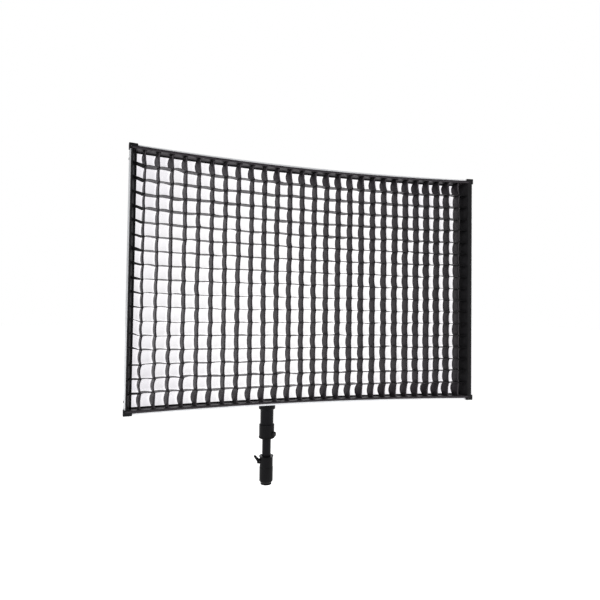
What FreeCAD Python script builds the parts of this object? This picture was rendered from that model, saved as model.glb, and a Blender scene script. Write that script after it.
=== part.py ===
import FreeCAD, Part
import math
import os

# Bowed LED strip softbox with an egg-crate grid on a short telescoping pole.
# Millimetres. Origin at the mouth of the pole's socket, +Z up, the light faces -Y, +X to its right
# as seen from the front. The panel is bowed about one vertical axis that lies in front of it.
# On the panel, t is the depth behind the grid's front surface, s the arc length along that surface,
# and u the distance inwards from the frame's outer face.

# ---- driving dimensions: panel ----
BORDER_HEIGHT = 650.0       # black border, top edge to bottom edge
BORDER_ARC = 968.0          # black border, along the bow
BOW_RADIUS = 3107.0         # radius of the grid's front surface
PANEL_X = 123.5             # the pole stands this far left of the panel's middle
RAIL_BOTTOM_Z = 220.0       # underside of the bottom rail
LIP = 5.0                   # width of the silver lip above and below the border
SIDE_LIP = 3.0              # its width at the border's two sides
RAIL_WEB = 2.5
RAIL_FRONT_T = 2.0
RAIL_BACK_T = 62.0
SHELF_T = 35.0
SHELF_THICKNESS = 2.0
SHELF_U = 14.0
REAR_FLANGE_U = 12.0
GRID_OFFSET_Y = 32.0        # from the grid's front surface back to the pole's axis

# ---- driving dimensions: corners ----
CAP_THICKNESS = 3.0
CAP_RAIL_LEG = 18.0
CAP_UPRIGHT_LEG = 12.0
CAP_ROUNDING = 2.2
CAP_DEPTH = 14.0
CAP_SCREW_T = 8.0
CAP_SCREW_R = 1.5
CAP_HEAD_R = 2.6
CAP_SHANK = 7.5             # through the cap and the rail's web, short of the grid
BRACKET_LEG = 40.0
CORNER_SCREW_R = 2.0
CORNER_HEAD_R = 3.0
CORNER_HEAD_THICKNESS = 1.2
RAIL_SCREW_INSET = 11.0
UPRIGHT_SCREW_INSET = 24.0
CORNER_SHANK = 9.0
HEAD_SEAT = 0.06            # screw heads sit just off the bowed faces

# ---- driving dimensions: grid ----
VERTICAL_STRIPS = 27
COLUMN_REACH = 466.0        # the upright strips stand a little closer together towards the sides:
COLUMN_CROWDING = 17.5      # their places follow a cubic curve from one side to the other
COLUMN_SKEW = 7.4
MIDDLE_COLUMN = 4.7
ROW_PITCH = 35.2
HORIZONTAL_STRIPS = 17
STRIP_THICKNESS = 1.2
STRIP_FRONT_T = 1.0
STRIP_BACK_T = 28.0
SLOT_WIDTH = 1.6
SLOT_FRONT_T = 14.7         # horizontal strips are slotted from the front down to here
SLOT_BACK_T = 14.3          # upright strips are slotted from the back down to here
BAND_THICKNESS = 2.5
BAND_BACK_T = 31.8
BAND_GAP = 0.3
RIGHT_HEM = 9.0             # the band's right side has a wide folded hem
HEM_THICKNESS = 1.4
LEFT_SLOPE = 7.5            # the band's upright sides lean in by this from front to back
RIGHT_SLOPE = 16.0
TAPE_WIDTH = 6.7
LEFT_TAPE_WIDTH = 14.0
RIGHT_TAPE_WIDTH = 27.0
TAPE_T = 32.0
TAPE_THICKNESS = 1.6
DIFFUSER_T = 33.8
DIFFUSER_THICKNESS = 1.0

# ---- driving dimensions: light source and back ----
BACKPLANE_T = 52.0
BACKPLANE_THICKNESS = 1.5
BOARD_COUNT = 8
BOARD_HEIGHT = 20.0
BOARD_THICKNESS = 1.6
EMITTERS_PER_BOARD = 24
EMITTER_SIZE = 5.0
EMITTER_THICKNESS = 1.0
RIB_ANGLES = (-6.0, -2.0, 2.0, 6.0)
RIB_WIDTH = 20.0
RIB_DEPTH = 6.0
SHELL_THICKNESS = 2.0
SEAT_GAP = 0.03             # the bowed shell clears the straight uprights' flat backs by this
BACK_SCREW_R = 1.5
VENT_WIDTH = 5.0
VENT_LENGTH = 70.0
VENT_PITCH = 14.0
VENTS_PER_SIDE = 14
VENT_ROWS_Z = (290.0, 740.0)
LEAD_R = 3.0
GROMMET_R = 5.5

# ---- driving dimensions: pole, from the socket's mouth upwards ----
SOCKET_R = 8.1
SOCKET_DEPTH = 68.0
NOSE_R = 15.4
NOSE_TOP = 5.0
LOWER_BODY_R = 18.8
LOWER_BODY_BASE = 9.0
LOWER_BODY_TOP = 46.0
UPPER_BODY_R = 18.2
SHOULDER_Z = 73.5
RECEIVER_RING_TOP = 76.5
RECEIVER_RING_R = 19.8
STUB_TOP = 90.0
TUBE_R = 12.1
TUBE_BORE_R = 8.25
TUBE_TOP = 184.0
LEVER_Z = 63.0
COLLAR_BOTTOM = 125.0
COLLAR_TOP = 163.5
COLLAR_R = 21.0
COLLAR_RIM_R = 22.0
COLLAR_RIM_HEIGHT = 4.0
COLLAR_SHOULDER = 147.0
OUTER_R = 18.2
OUTER_BORE_R = 14.6
FLANGE_BOTTOM = 205.0
FLANGE_R = 22.8
FLANGE_BORE_R = 14.6
BUSH_TOP = 161.0
KNOB_Z = 137.5
KNOB_TURN = -40.0           # degrees about the pole, from the right towards the front
KNOB_R = 7.2
PIN_R = 2.0
PIN_Z = 82.5
LEVER_SCREW_R = 4.0
LEVER_BOSS_LENGTH = 7.2
LEVER_SCREW_BITE = 5.4      # how far the screws go into the lever's boss
KNOB_LENGTH = 5.4
KNOB_SCREW_BITE = 3.2       # and into the knob
PAD_THICKNESS = 1.6
PAD_TRAVEL = 1.25
FLANGE_SCREW_R = 17.8
FOOT_SCREW_R = 2.0
RUNNING = 0.08              # radial clearance where a part turns or slides on another

# ---- driving dimensions: driver box ----
BOX_WIDTH = 210.0
BOX_HEIGHT = 120.0
BOX_BOTTOM_Z = 262.0
BOX_BACK_T = 104.0
BOX_WALL = 2.5
LID_THICKNESS = 3.0
LID_SCREW_R = 1.5
DIMMER_SHAFT_R = 3.0
DIMMER_KNOB_R = 13.0
DIMMER_FLUTES = 18
SWITCH_HALF_WIDTH = 6.5
SWITCH_HALF_HEIGHT = 8.5
SWITCH_GAP = 0.5
SWITCH_TILT = 7.0
PIVOT_R = 1.5
PIVOT_LENGTH = 1.2          # how far each pivot stands out of the rocker, into the bezel's wall
INLET_HALF_WIDTH = 13.75
INLET_HALF_HEIGHT = 10.0
INLET_DEPTH = 22.0
INLET_RECESS = 16.0

# ---- derived ----
BORDER_BOTTOM_Z = RAIL_BOTTOM_Z + LIP
BORDER_TOP_Z = BORDER_BOTTOM_Z + BORDER_HEIGHT
RAIL_TOP_Z = BORDER_TOP_Z + LIP
FRAME_HALF_ARC = BORDER_ARC / 2 + SIDE_LIP
AXIS_Y = -GRID_OFFSET_Y - math.sqrt(BOW_RADIUS ** 2 - PANEL_X ** 2)
BACK_Y = AXIS_Y + BOW_RADIUS
BAND_U0 = LIP + BAND_GAP
BAND_U1 = BAND_U0 + BAND_THICKNESS
BAND_Z0 = RAIL_BOTTOM_Z + BAND_U0
BAND_Z1 = RAIL_TOP_Z - BAND_U0
BAND_S = FRAME_HALF_ARC - SIDE_LIP - BAND_GAP
STRIP_Z0 = RAIL_BOTTOM_Z + BAND_U1 + 0.2
STRIP_Z1 = RAIL_TOP_Z - BAND_U1 - 0.2
FIRST_ROW = BORDER_BOTTOM_Z + (BORDER_HEIGHT - ROW_PITCH * (HORIZONTAL_STRIPS - 1)) / 2
BOARD_HALF_ARC = FRAME_HALF_ARC - 28.0
STUB_R = TUBE_BORE_R - 0.05
LEAD_Z = BOX_BOTTOM_Z + 95.0
LID_Y = BACK_Y + BOX_BACK_T
FLOOR_Y = BACK_Y + RAIL_BACK_T + SHELL_THICKNESS + SEAT_GAP
BOX_X0 = PANEL_X - BOX_WIDTH / 2
BOX_X1 = PANEL_X + BOX_WIDTH / 2
CONTROL_Z = BOX_BOTTOM_Z + 38.0
KNOB_X = BOX_X0 + 45.0
SWITCH_X = PANEL_X
INLET_X = BOX_X1 - 50.0
X_AXIS = FreeCAD.Vector(1, 0, 0)
Y_AXIS = FreeCAD.Vector(0, 1, 0)
UP = FreeCAD.Vector(0, 0, 1)
NODES = {}


def keep(name, solids):
    """Notes one node: a solid, or a list of separate solids."""
    if isinstance(solids, list):
        solids = Part.makeCompound(solids)
    NODES[name] = solids


def angle_of(s):
    return s / BOW_RADIUS


def on_panel(s, t, z):
    """The point at arc length s, depth t and height z."""
    a = angle_of(s)
    r = BOW_RADIUS + t
    return FreeCAD.Vector(PANEL_X + r * math.sin(a), AXIS_Y + r * math.cos(a), z)


def beside(s, u, t, z):
    """The point u along the tangent from arc length s, at depth t: the flat frame at that place."""
    a = angle_of(s)
    r = BOW_RADIUS + t
    x = PANEL_X + r * math.sin(a) + u * math.cos(a)
    y = AXIS_Y + r * math.cos(a) - u * math.sin(a)
    return FreeCAD.Vector(x, y, z)


def face_of(points):
    return Part.Face(Part.makePolygon(points + [points[0]]))


def bowed(outline, s0, s1):
    """Turns an outline of (t, z) points about the bow's axis, from arc length s0 to s1."""
    face = face_of([on_panel(s0, t, z) for t, z in outline])
    turn = math.degrees(angle_of(s1) - angle_of(s0))
    return face.revolve(FreeCAD.Vector(PANEL_X, AXIS_Y, 0), UP, -turn)


def bowed_block(t0, t1, z0, z1, s0, s1):
    return bowed([(t0, z0), (t1, z0), (t1, z1), (t0, z1)], s0, s1)


def straight(outline, s, z0, z1):
    """An upright of constant section: (u, t) points in the flat frame at arc length s."""
    face = face_of([beside(s, u, t, z0) for u, t in outline])
    return face.extrude(FreeCAD.Vector(0, 0, z1 - z0))


def straight_block(s, u0, u1, t0, t1, z0, z1):
    return straight([(u0, t0), (u1, t0), (u1, t1), (u0, t1)], s, z0, z1)


def turned(outline):
    """Turns an outline of (r, z) points about the pole's axis."""
    face = face_of([FreeCAD.Vector(r, 0, z) for r, z in outline])
    return face.revolve(FreeCAD.Vector(0, 0, 0), UP, 360)


def cylinder(radius, height, base, axis):
    return Part.makeCylinder(radius, height, base, axis)


def rounded(shape, edges, radius):
    return shape.makeFillet(radius, edges)


def edges_at(shape, test):
    return [e for e in shape.Edges if test(e)]


# ------------------------------------------------------------------ pole
def round_the_pole(shape):
    """Turns a shape made along +X to the knob's side of the pole."""
    shape.rotate(FreeCAD.Vector(0, 0, 0), UP, KNOB_TURN)
    return shape


def receiver_body():
    outline = [(SOCKET_R, 0), (NOSE_R, 0), (NOSE_R, NOSE_TOP), (LOWER_BODY_R, LOWER_BODY_BASE),
               (LOWER_BODY_R, LOWER_BODY_TOP), (UPPER_BODY_R, LOWER_BODY_TOP + 1.0),
               (UPPER_BODY_R, SHOULDER_Z), (STUB_R, SHOULDER_Z), (STUB_R, STUB_TOP),
               (0, STUB_TOP), (0, SOCKET_DEPTH), (SOCKET_R, SOCKET_DEPTH)]
    body = turned(outline)
    screw_hole = cylinder(LEVER_SCREW_R + RUNNING, 20.0, FreeCAD.Vector(0, 0, LEVER_Z), -X_AXIS)
    pin_hole = cylinder(PIN_R, 2 * STUB_R + 2, FreeCAD.Vector(-STUB_R - 1, 0, PIN_Z), X_AXIS)
    return body.cut(screw_hole).cut(pin_hole)


def inner_tube():
    tube = turned([(TUBE_BORE_R, SHOULDER_Z), (TUBE_R, SHOULDER_Z), (TUBE_R, TUBE_TOP),
                   (TUBE_BORE_R, TUBE_TOP)])
    hole = cylinder(PIN_R, 2 * TUBE_R + 2, FreeCAD.Vector(-TUBE_R - 1, 0, PIN_Z), X_AXIS)
    return tube.cut(hole)


def lever_handle():
    """A boss round the screw and a round arm that slants up and away from the receiver."""
    boss_start = FreeCAD.Vector(-UPPER_BODY_R - 0.4, 0, LEVER_Z)
    boss = cylinder(7.0, LEVER_BOSS_LENGTH, boss_start, -X_AXIS)
    boss = rounded(boss, edges_at(boss, lambda e: e.BoundBox.XMax < -UPPER_BODY_R - 5), 2.5)
    root = FreeCAD.Vector(-22.3, 0, LEVER_Z + 1.5)
    tip = FreeCAD.Vector(-31.8, 0, LEVER_Z + 13.5)
    along = tip - root
    arm = Part.makeCone(4.4, 3.4, along.Length, root, along)
    end = Part.makeSphere(3.4, tip)
    handle = boss.fuse(arm).fuse(end)
    bore = cylinder(LEVER_SCREW_R, LEVER_SCREW_BITE, boss_start, -X_AXIS)
    return handle.cut(bore).removeSplitter()


def lever_screw():
    length = UPPER_BODY_R + 0.4 + LEVER_SCREW_BITE - SOCKET_R - PAD_THICKNESS - PAD_TRAVEL
    start = FreeCAD.Vector(-SOCKET_R - PAD_THICKNESS - PAD_TRAVEL, 0, LEVER_Z)
    return cylinder(LEVER_SCREW_R, length, start, -X_AXIS)


def lever_pad():
    start = FreeCAD.Vector(-SOCKET_R - 0.15, 0, LEVER_Z)
    return cylinder(LEVER_SCREW_R - 0.1, PAD_THICKNESS, start, -X_AXIS)


def lock_collar():
    outline = [(TUBE_R + RUNNING, COLLAR_BOTTOM), (COLLAR_R - 1.5, COLLAR_BOTTOM),
               (COLLAR_RIM_R, COLLAR_BOTTOM + 1.5), (COLLAR_RIM_R, COLLAR_BOTTOM + COLLAR_RIM_HEIGHT),
               (COLLAR_R, COLLAR_BOTTOM + COLLAR_RIM_HEIGHT + 0.8), (COLLAR_R, COLLAR_TOP - 1.0),
               (COLLAR_R - 1.0, COLLAR_TOP), (OUTER_R + 0.05, COLLAR_TOP),
               (OUTER_R + 0.05, COLLAR_SHOULDER), (TUBE_R + RUNNING, COLLAR_SHOULDER)]
    collar = turned(outline)
    hole = cylinder(LEVER_SCREW_R + RUNNING, 20.0, FreeCAD.Vector(5, 0, KNOB_Z), X_AXIS)
    return round_the_pole(collar.cut(hole))


def lock_knob():
    start = FreeCAD.Vector(COLLAR_R + 0.4, 0, KNOB_Z)
    knob = cylinder(KNOB_R, KNOB_LENGTH, start, X_AXIS)
    knob = rounded(knob, edges_at(knob, lambda e: e.BoundBox.XMin > COLLAR_R + 3), 2.4)
    notch_count = 12
    for i in range(notch_count):
        a = 2 * math.pi * i / notch_count
        base = FreeCAD.Vector(COLLAR_R, KNOB_R * 1.09 * math.cos(a), KNOB_Z + KNOB_R * 1.09 * math.sin(a))
        knob = knob.cut(cylinder(1.1, 10.0, base, X_AXIS))
    return round_the_pole(knob.cut(cylinder(LEVER_SCREW_R, KNOB_SCREW_BITE, start, X_AXIS)))


def lock_screw():
    start = FreeCAD.Vector(TUBE_R + 0.1 + PAD_THICKNESS + PAD_TRAVEL, 0, KNOB_Z)
    length = COLLAR_R + 0.4 + KNOB_SCREW_BITE - start.x
    return round_the_pole(cylinder(LEVER_SCREW_R, length, start, X_AXIS))


def brake_pad():
    start = FreeCAD.Vector(TUBE_R + 0.1, 0, KNOB_Z)
    return round_the_pole(cylinder(LEVER_SCREW_R - 0.1, PAD_THICKNESS, start, X_AXIS))


def flange_screw_places():
    return [FreeCAD.Vector(FLANGE_SCREW_R * math.cos(math.radians(a)),
                           FLANGE_SCREW_R * math.sin(math.radians(a)), 0) for a in (45, 135, 225, 315)]


def foot_flange():
    flange = turned([(FLANGE_BORE_R, FLANGE_BOTTOM), (FLANGE_R - 1.5, FLANGE_BOTTOM),
                     (FLANGE_R, FLANGE_BOTTOM + 1.5), (FLANGE_R, RAIL_BOTTOM_Z),
                     (FLANGE_BORE_R, RAIL_BOTTOM_Z)])
    for place in flange_screw_places():
        flange = flange.cut(cylinder(FOOT_SCREW_R, 7.0, place + UP * (RAIL_BOTTOM_Z - 7.0), UP))
    return flange


def foot_screws():
    """Screws down through the bottom rail's web into the flange."""
    head_bottom = RAIL_BOTTOM_Z + RAIL_WEB
    screws = []
    for place in flange_screw_places():
        shank = cylinder(FOOT_SCREW_R, RAIL_WEB + 6.5, place + UP * (RAIL_BOTTOM_Z - 6.5), UP)
        head = cylinder(3.5, 2.2, place + UP * head_bottom, UP)
        screws.append(shank.fuse(head).removeSplitter())
    return screws


# ------------------------------------------------------------------ frame
def rail_section(lip):
    """(t, u) outline of the extrusion: web, front lip, shelf and rear flange."""
    t0, t1 = RAIL_FRONT_T, RAIL_BACK_T
    shelf_back = SHELF_T + SHELF_THICKNESS
    return [(t0, 0), (t1, 0), (t1, REAR_FLANGE_U), (t1 - 2, REAR_FLANGE_U), (t1 - 2, RAIL_WEB),
            (shelf_back, RAIL_WEB), (shelf_back, SHELF_U), (SHELF_T, SHELF_U), (SHELF_T, RAIL_WEB),
            (t0 + 2.5, RAIL_WEB), (t0 + 2.5, lip), (t0, lip)]


def rail(top):
    if top:
        outline = [(t, RAIL_TOP_Z - u) for t, u in rail_section(LIP)]
    else:
        outline = [(t, RAIL_BOTTOM_Z + u) for t, u in rail_section(LIP)]
    return bowed(outline, -FRAME_HALF_ARC, FRAME_HALF_ARC)


def upright(side):
    """side is -1 for the left and 1 for the right; it ends on the rails' shelves."""
    outline = [(-side * u, t) for t, u in rail_section(SIDE_LIP)]
    return straight(outline, side * FRAME_HALF_ARC, RAIL_BOTTOM_Z + SHELF_U, RAIL_TOP_Z - SHELF_U)


def corner_cap(side, top):
    """A moulded cap round the outside and front of one corner."""
    z_out = RAIL_TOP_Z if top else RAIL_BOTTOM_Z
    inward = -1 if top else 1
    s_out = side * FRAME_HALF_ARC
    s_in = s_out - side * CAP_RAIL_LEG

    def block(z_from, z_to, s_from, s_to, t0, t1):
        z0, z1 = sorted((z_out + inward * z_from, z_out + inward * z_to))
        s0, s1 = sorted((s_from, s_to))
        return bowed_block(t0, t1, z0, z1, s0, s1)

    s_cap = s_out + side * CAP_THICKNESS
    front_t = -0.5
    back_t = CAP_DEPTH
    over_rail = block(-CAP_THICKNESS, -0.02, s_cap, s_in, front_t, back_t)
    over_upright = block(-CAP_THICKNESS, CAP_UPRIGHT_LEG, s_cap, s_out + side * 0.02, front_t, back_t)
    front_rail = block(-CAP_THICKNESS, LIP, s_cap, s_in, front_t, RAIL_FRONT_T - 0.02)
    front_upright = block(-CAP_THICKNESS, CAP_UPRIGHT_LEG, s_cap, s_out - side * SIDE_LIP, front_t,
                          RAIL_FRONT_T - 0.02)
    cap = over_rail.fuse(over_upright).fuse(front_rail).fuse(front_upright).removeSplitter()
    z_face = z_out - inward * CAP_THICKNESS
    face_edges = edges_at(cap, lambda e: max(abs(e.BoundBox.ZMin - z_face),
                                             abs(e.BoundBox.ZMax - z_face)) < 0.01)
    corner_edges = edges_at(cap, lambda e: e.BoundBox.ZLength > CAP_UPRIGHT_LEG + 1)
    cap = rounded(cap, face_edges + corner_edges, CAP_ROUNDING)
    place, axis = cap_screw_place(side, top)
    return cap.cut(cylinder(CAP_SCREW_R, CAP_SHANK, place, axis))


def cap_screw_place(side, top):
    """Where the cap's own small screw starts, on the cap's level face, and which way it goes."""
    z_out = RAIL_TOP_Z if top else RAIL_BOTTOM_Z
    inward = UP * (-1 if top else 1)
    place = on_panel(side * (FRAME_HALF_ARC - RAIL_SCREW_INSET), CAP_SCREW_T, z_out)
    return place - inward * (CAP_THICKNESS + HEAD_SEAT), inward


def corner_screw_places(side, top):
    """Where the bracket's two screws start, on the frame's outer faces, and which way they go."""
    z_out = RAIL_TOP_Z if top else RAIL_BOTTOM_Z
    inward = UP * (-1 if top else 1)
    rail_place = on_panel(side * (FRAME_HALF_ARC - RAIL_SCREW_INSET), 45.0, z_out) - inward * HEAD_SEAT
    a = angle_of(side * FRAME_HALF_ARC)
    tangent = FreeCAD.Vector(math.cos(a), -math.sin(a), 0) * -side
    upright_place = beside(side * FRAME_HALF_ARC, 0, 45.0, z_out) + inward * UPRIGHT_SCREW_INSET
    upright_place = upright_place - tangent * HEAD_SEAT
    return [(rail_place, inward), (upright_place, tangent)]


def corner_bracket(side, top):
    """An angle in the channel behind the shelf that both screws bite into."""
    z_out = RAIL_TOP_Z if top else RAIL_BOTTOM_Z
    inward = -1 if top else 1
    thickness = 4.0
    s_web = side * (FRAME_HALF_ARC - RAIL_WEB - 0.3)
    z_web = z_out + inward * (RAIL_WEB + 0.05)
    z_leg = z_web + inward * thickness
    z_end = z_out + inward * BRACKET_LEG
    z0, z1 = sorted((z_web, z_leg))
    s0, s1 = sorted((s_web, s_web - side * BRACKET_LEG))
    along_rail = bowed_block(38.0, 51.0, z0, z1, s0, s1)
    z0, z1 = sorted((z_web, z_end))
    s0, s1 = sorted((s_web, s_web - side * thickness))
    along_upright = bowed_block(38.0, 51.0, z0, z1, s0, s1)
    bracket = along_rail.fuse(along_upright).removeSplitter()
    for place, axis in corner_screw_places(side, top):
        bracket = bracket.cut(cylinder(CORNER_SCREW_R, 30.0, place - axis * 15, axis))
    return bracket


def corner_screws(side, top):
    screws = []
    for place, axis in corner_screw_places(side, top):
        head = cylinder(CORNER_HEAD_R, CORNER_HEAD_THICKNESS, place - axis * CORNER_HEAD_THICKNESS, axis)
        shank = cylinder(CORNER_SCREW_R, CORNER_SHANK, place, axis)
        screws.append(head.fuse(shank).removeSplitter())
    place, axis = cap_screw_place(side, top)
    head = cylinder(CAP_HEAD_R, CORNER_HEAD_THICKNESS, place - axis * CORNER_HEAD_THICKNESS, axis)
    screws.append(head.fuse(cylinder(CAP_SCREW_R, CAP_SHANK, place, axis)).removeSplitter())
    return screws


def drilled_rails(rails, uprights):
    """Cuts the corner screws' holes and the foot screws' holes into the extrusions."""
    for side in (-1, 1):
        for top in (True, False):
            (rail_place, rail_axis), (upright_place, upright_axis) = corner_screw_places(side, top)
            rails[top] = rails[top].cut(cylinder(CORNER_SCREW_R, 14.0, rail_place, rail_axis))
            uprights[side] = uprights[side].cut(cylinder(CORNER_SCREW_R, 14.0, upright_place,
                                                         upright_axis))
            cap_place, cap_axis = cap_screw_place(side, top)
            rails[top] = rails[top].cut(cylinder(CAP_SCREW_R, 14.0, cap_place, cap_axis))
    for place in flange_screw_places():
        hole = cylinder(FOOT_SCREW_R, 10.0, place + UP * (RAIL_BOTTOM_Z - 2), UP)
        rails[False] = rails[False].cut(hole)
    back_holes = Part.makeCompound([back_screw_hole(s, z) for s, z in back_screw_places()])
    for parts in (rails, uprights):
        for key in parts:
            parts[key] = parts[key].cut(back_holes)
    return rails, uprights


# ------------------------------------------------------------------ soft front
def column_s(k):
    middle = (VERTICAL_STRIPS - 1) / 2
    x = (k - middle) / middle
    return MIDDLE_COLUMN + COLUMN_REACH * x - COLUMN_SKEW * x ** 2 - COLUMN_CROWDING * x ** 3


def row_z(j):
    return FIRST_ROW + ROW_PITCH * j


def grid_band():
    """The grid's stiff border in four lengths; the upright ones fit between the bowed ones."""
    inner_z0 = BAND_Z0 + BAND_THICKNESS
    inner_z1 = BAND_Z1 - BAND_THICKNESS
    keep("grid_band_top", bowed_block(0, BAND_BACK_T, inner_z1, BAND_Z1, -BAND_S, BAND_S))
    keep("grid_band_bottom", bowed_block(0, BAND_BACK_T, BAND_Z0, inner_z0, -BAND_S, BAND_S))
    left = [(0.3, 0), (BAND_THICKNESS, 0), (BAND_THICKNESS + LEFT_SLOPE, BAND_BACK_T),
            (LEFT_SLOPE, BAND_BACK_T)]
    keep("grid_band_left", straight(left, -BAND_S, inner_z0, inner_z1))
    wall = RIGHT_HEM - BAND_THICKNESS
    right = [(-0.3, 0), (-RIGHT_HEM, 0), (-RIGHT_HEM - RIGHT_SLOPE, BAND_BACK_T),
             (-wall - RIGHT_SLOPE, BAND_BACK_T), (-wall, HEM_THICKNESS), (-0.3, HEM_THICKNESS)]
    keep("grid_band_right", straight(right, BAND_S, inner_z0, inner_z1))


def vertical_strip(k):
    """An upright fabric strip, slotted from the back where the horizontal strips cross it."""
    s = column_s(k)
    outline = [(STRIP_FRONT_T, STRIP_Z0), (STRIP_BACK_T, STRIP_Z0)]
    for j in range(HORIZONTAL_STRIPS):
        low = row_z(j) - SLOT_WIDTH / 2
        high = row_z(j) + SLOT_WIDTH / 2
        outline += [(STRIP_BACK_T, low), (SLOT_BACK_T, low), (SLOT_BACK_T, high), (STRIP_BACK_T, high)]
    outline += [(STRIP_BACK_T, STRIP_Z1), (STRIP_FRONT_T, STRIP_Z1)]
    half = STRIP_THICKNESS / 2
    face = face_of([beside(s, -half, t, z) for t, z in outline])
    a = angle_of(s)
    return face.extrude(FreeCAD.Vector(math.cos(a), -math.sin(a), 0) * STRIP_THICKNESS)


def arc_edge(t, s0, s1):
    return Part.Arc(on_panel(s0, t, 0), on_panel((s0 + s1) / 2, t, 0), on_panel(s1, t, 0)).toShape()


def horizontal_strip():
    """A bowed strip in the plane z = 0, slotted from the front where the upright strips cross it."""
    start = -BAND_S + BAND_THICKNESS + 1.2
    end = BAND_S - RIGHT_HEM - 1.2
    start_back = start + LEFT_SLOPE * STRIP_BACK_T / BAND_BACK_T
    end_back = end - RIGHT_SLOPE * STRIP_BACK_T / BAND_BACK_T
    edges = []
    s_at = start
    for k in range(VERTICAL_STRIPS):
        low = column_s(k) - SLOT_WIDTH / 2
        high = column_s(k) + SLOT_WIDTH / 2
        edges.append(arc_edge(STRIP_FRONT_T, s_at, low))
        edges.append(Part.makeLine(on_panel(low, STRIP_FRONT_T, 0), on_panel(low, SLOT_FRONT_T, 0)))
        edges.append(arc_edge(SLOT_FRONT_T, low, high))
        edges.append(Part.makeLine(on_panel(high, SLOT_FRONT_T, 0), on_panel(high, STRIP_FRONT_T, 0)))
        s_at = high
    edges.append(arc_edge(STRIP_FRONT_T, s_at, end))
    edges.append(Part.makeLine(on_panel(end, STRIP_FRONT_T, 0), on_panel(end_back, STRIP_BACK_T, 0)))
    edges.append(arc_edge(STRIP_BACK_T, end_back, start_back))
    edges.append(Part.makeLine(on_panel(start_back, STRIP_BACK_T, 0), on_panel(start, STRIP_FRONT_T, 0)))
    face = Part.Face(Part.Wire(edges))
    return face.extrude(UP * STRIP_THICKNESS)


def grid_strips():
    names = ("grid_verticals_left", "grid_verticals_middle", "grid_verticals_right")
    per_node = VERTICAL_STRIPS // len(names)
    for i, name in enumerate(names):
        first = i * per_node
        keep(name, [vertical_strip(k) for k in range(first, first + per_node)])
    strip = horizontal_strip()
    rows = []
    for j in range(HORIZONTAL_STRIPS):
        row = strip.copy()
        row.translate(UP * (row_z(j) - STRIP_THICKNESS / 2))
        rows.append(row)
    keep("grid_horizontals", rows)


def border_tape():
    """Hook-and-loop tape on the diffuser's edge that the grid's border sticks to."""
    t0, t1 = TAPE_T, TAPE_T + TAPE_THICKNESS
    z0, z1 = BAND_Z0, BAND_Z1
    side_z0, side_z1 = z0 + TAPE_WIDTH, z1 - TAPE_WIDTH
    return [bowed_block(t0, t1, z0, side_z0, -BAND_S, BAND_S),
            bowed_block(t0, t1, side_z1, z1, -BAND_S, BAND_S),
            bowed_block(t0, t1, side_z0, side_z1, -BAND_S, -BAND_S + LEFT_TAPE_WIDTH),
            bowed_block(t0, t1, side_z0, side_z1, BAND_S - RIGHT_TAPE_WIDTH, BAND_S)]


def soft_front():
    grid_band()
    grid_strips()
    keep("border_tape", border_tape())
    edge = FRAME_HALF_ARC - 3.2
    keep("diffuser", bowed_block(DIFFUSER_T, DIFFUSER_T + DIFFUSER_THICKNESS, RAIL_BOTTOM_Z + 3.2,
                                 RAIL_TOP_Z - 3.2, -edge, edge))


# ------------------------------------------------------------------ light source and back
def board_z(i):
    return BORDER_BOTTOM_Z + BORDER_HEIGHT / BOARD_COUNT * (i + 0.5)


def led_boards():
    t1 = BACKPLANE_T
    half = BOARD_HEIGHT / 2
    return [bowed_block(t1 - BOARD_THICKNESS, t1, board_z(i) - half, board_z(i) + half,
                        -BOARD_HALF_ARC, BOARD_HALF_ARC) for i in range(BOARD_COUNT)]


def led_emitters():
    t1 = BACKPLANE_T - BOARD_THICKNESS
    half = EMITTER_SIZE / 2
    pitch = 2 * BOARD_HALF_ARC / EMITTERS_PER_BOARD
    chips = []
    for i in range(BOARD_COUNT):
        for k in range(EMITTERS_PER_BOARD):
            s = -BOARD_HALF_ARC + pitch * (k + 0.5)
            z = board_z(i)
            chips.append(straight_block(s, -half, half, t1 - EMITTER_THICKNESS - 0.02, t1 - 0.02,
                                        z - half, z + half))
    return chips


def back_screw_places():
    z_low = RAIL_BOTTOM_Z + 7.5
    z_high = RAIL_TOP_Z - 7.5
    places = [(s, z) for s in (-440, -264, -88, 88, 264, 440) for z in (z_low, z_high)]
    places += [(s, z) for s in (-FRAME_HALF_ARC + 7.5, FRAME_HALF_ARC - 7.5) for z in (400, 700)]
    return places


def back_screw_hole(s, z):
    start = on_panel(s, RAIL_BACK_T - 4, z)
    return cylinder(BACK_SCREW_R, 12.0, start, radial(s))


def radial(s):
    a = angle_of(s)
    return FreeCAD.Vector(math.sin(a), math.cos(a), 0)


def back_shell():
    t0 = RAIL_BACK_T + SEAT_GAP
    edge = FRAME_HALF_ARC - 0.5
    shell = bowed_block(t0, t0 + SHELL_THICKNESS, RAIL_BOTTOM_Z + 0.5, RAIL_TOP_Z - 0.5, -edge, edge)
    cutters = []
    for side in (-1, 1):
        for k in range(VENTS_PER_SIDE):
            s = side * (150 + VENT_PITCH * k)
            for z in VENT_ROWS_Z:
                cutters.append(straight_block(s, -VENT_WIDTH / 2, VENT_WIDTH / 2, t0 - 3, t0 + 6,
                                              z, z + VENT_LENGTH))
    cutters += [back_screw_hole(s, z) for s, z in back_screw_places()]
    cutters.append(cylinder(GROMMET_R, 20.0, FreeCAD.Vector(PANEL_X, BACK_Y + t0 - 6, LEAD_Z), Y_AXIS))
    return shell.cut(Part.makeCompound(cutters))


def back_shell_screws():
    screws = []
    for s, z in back_screw_places():
        shank = cylinder(BACK_SCREW_R, SHELL_THICKNESS + 2.0, on_panel(s, RAIL_BACK_T - 2, z), radial(s))
        head_base = on_panel(s, RAIL_BACK_T + SEAT_GAP + SHELL_THICKNESS, z)
        head = cylinder(3.0, 1.6, head_base, radial(s))
        screws.append(shank.fuse(head).removeSplitter())
    return screws


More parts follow.
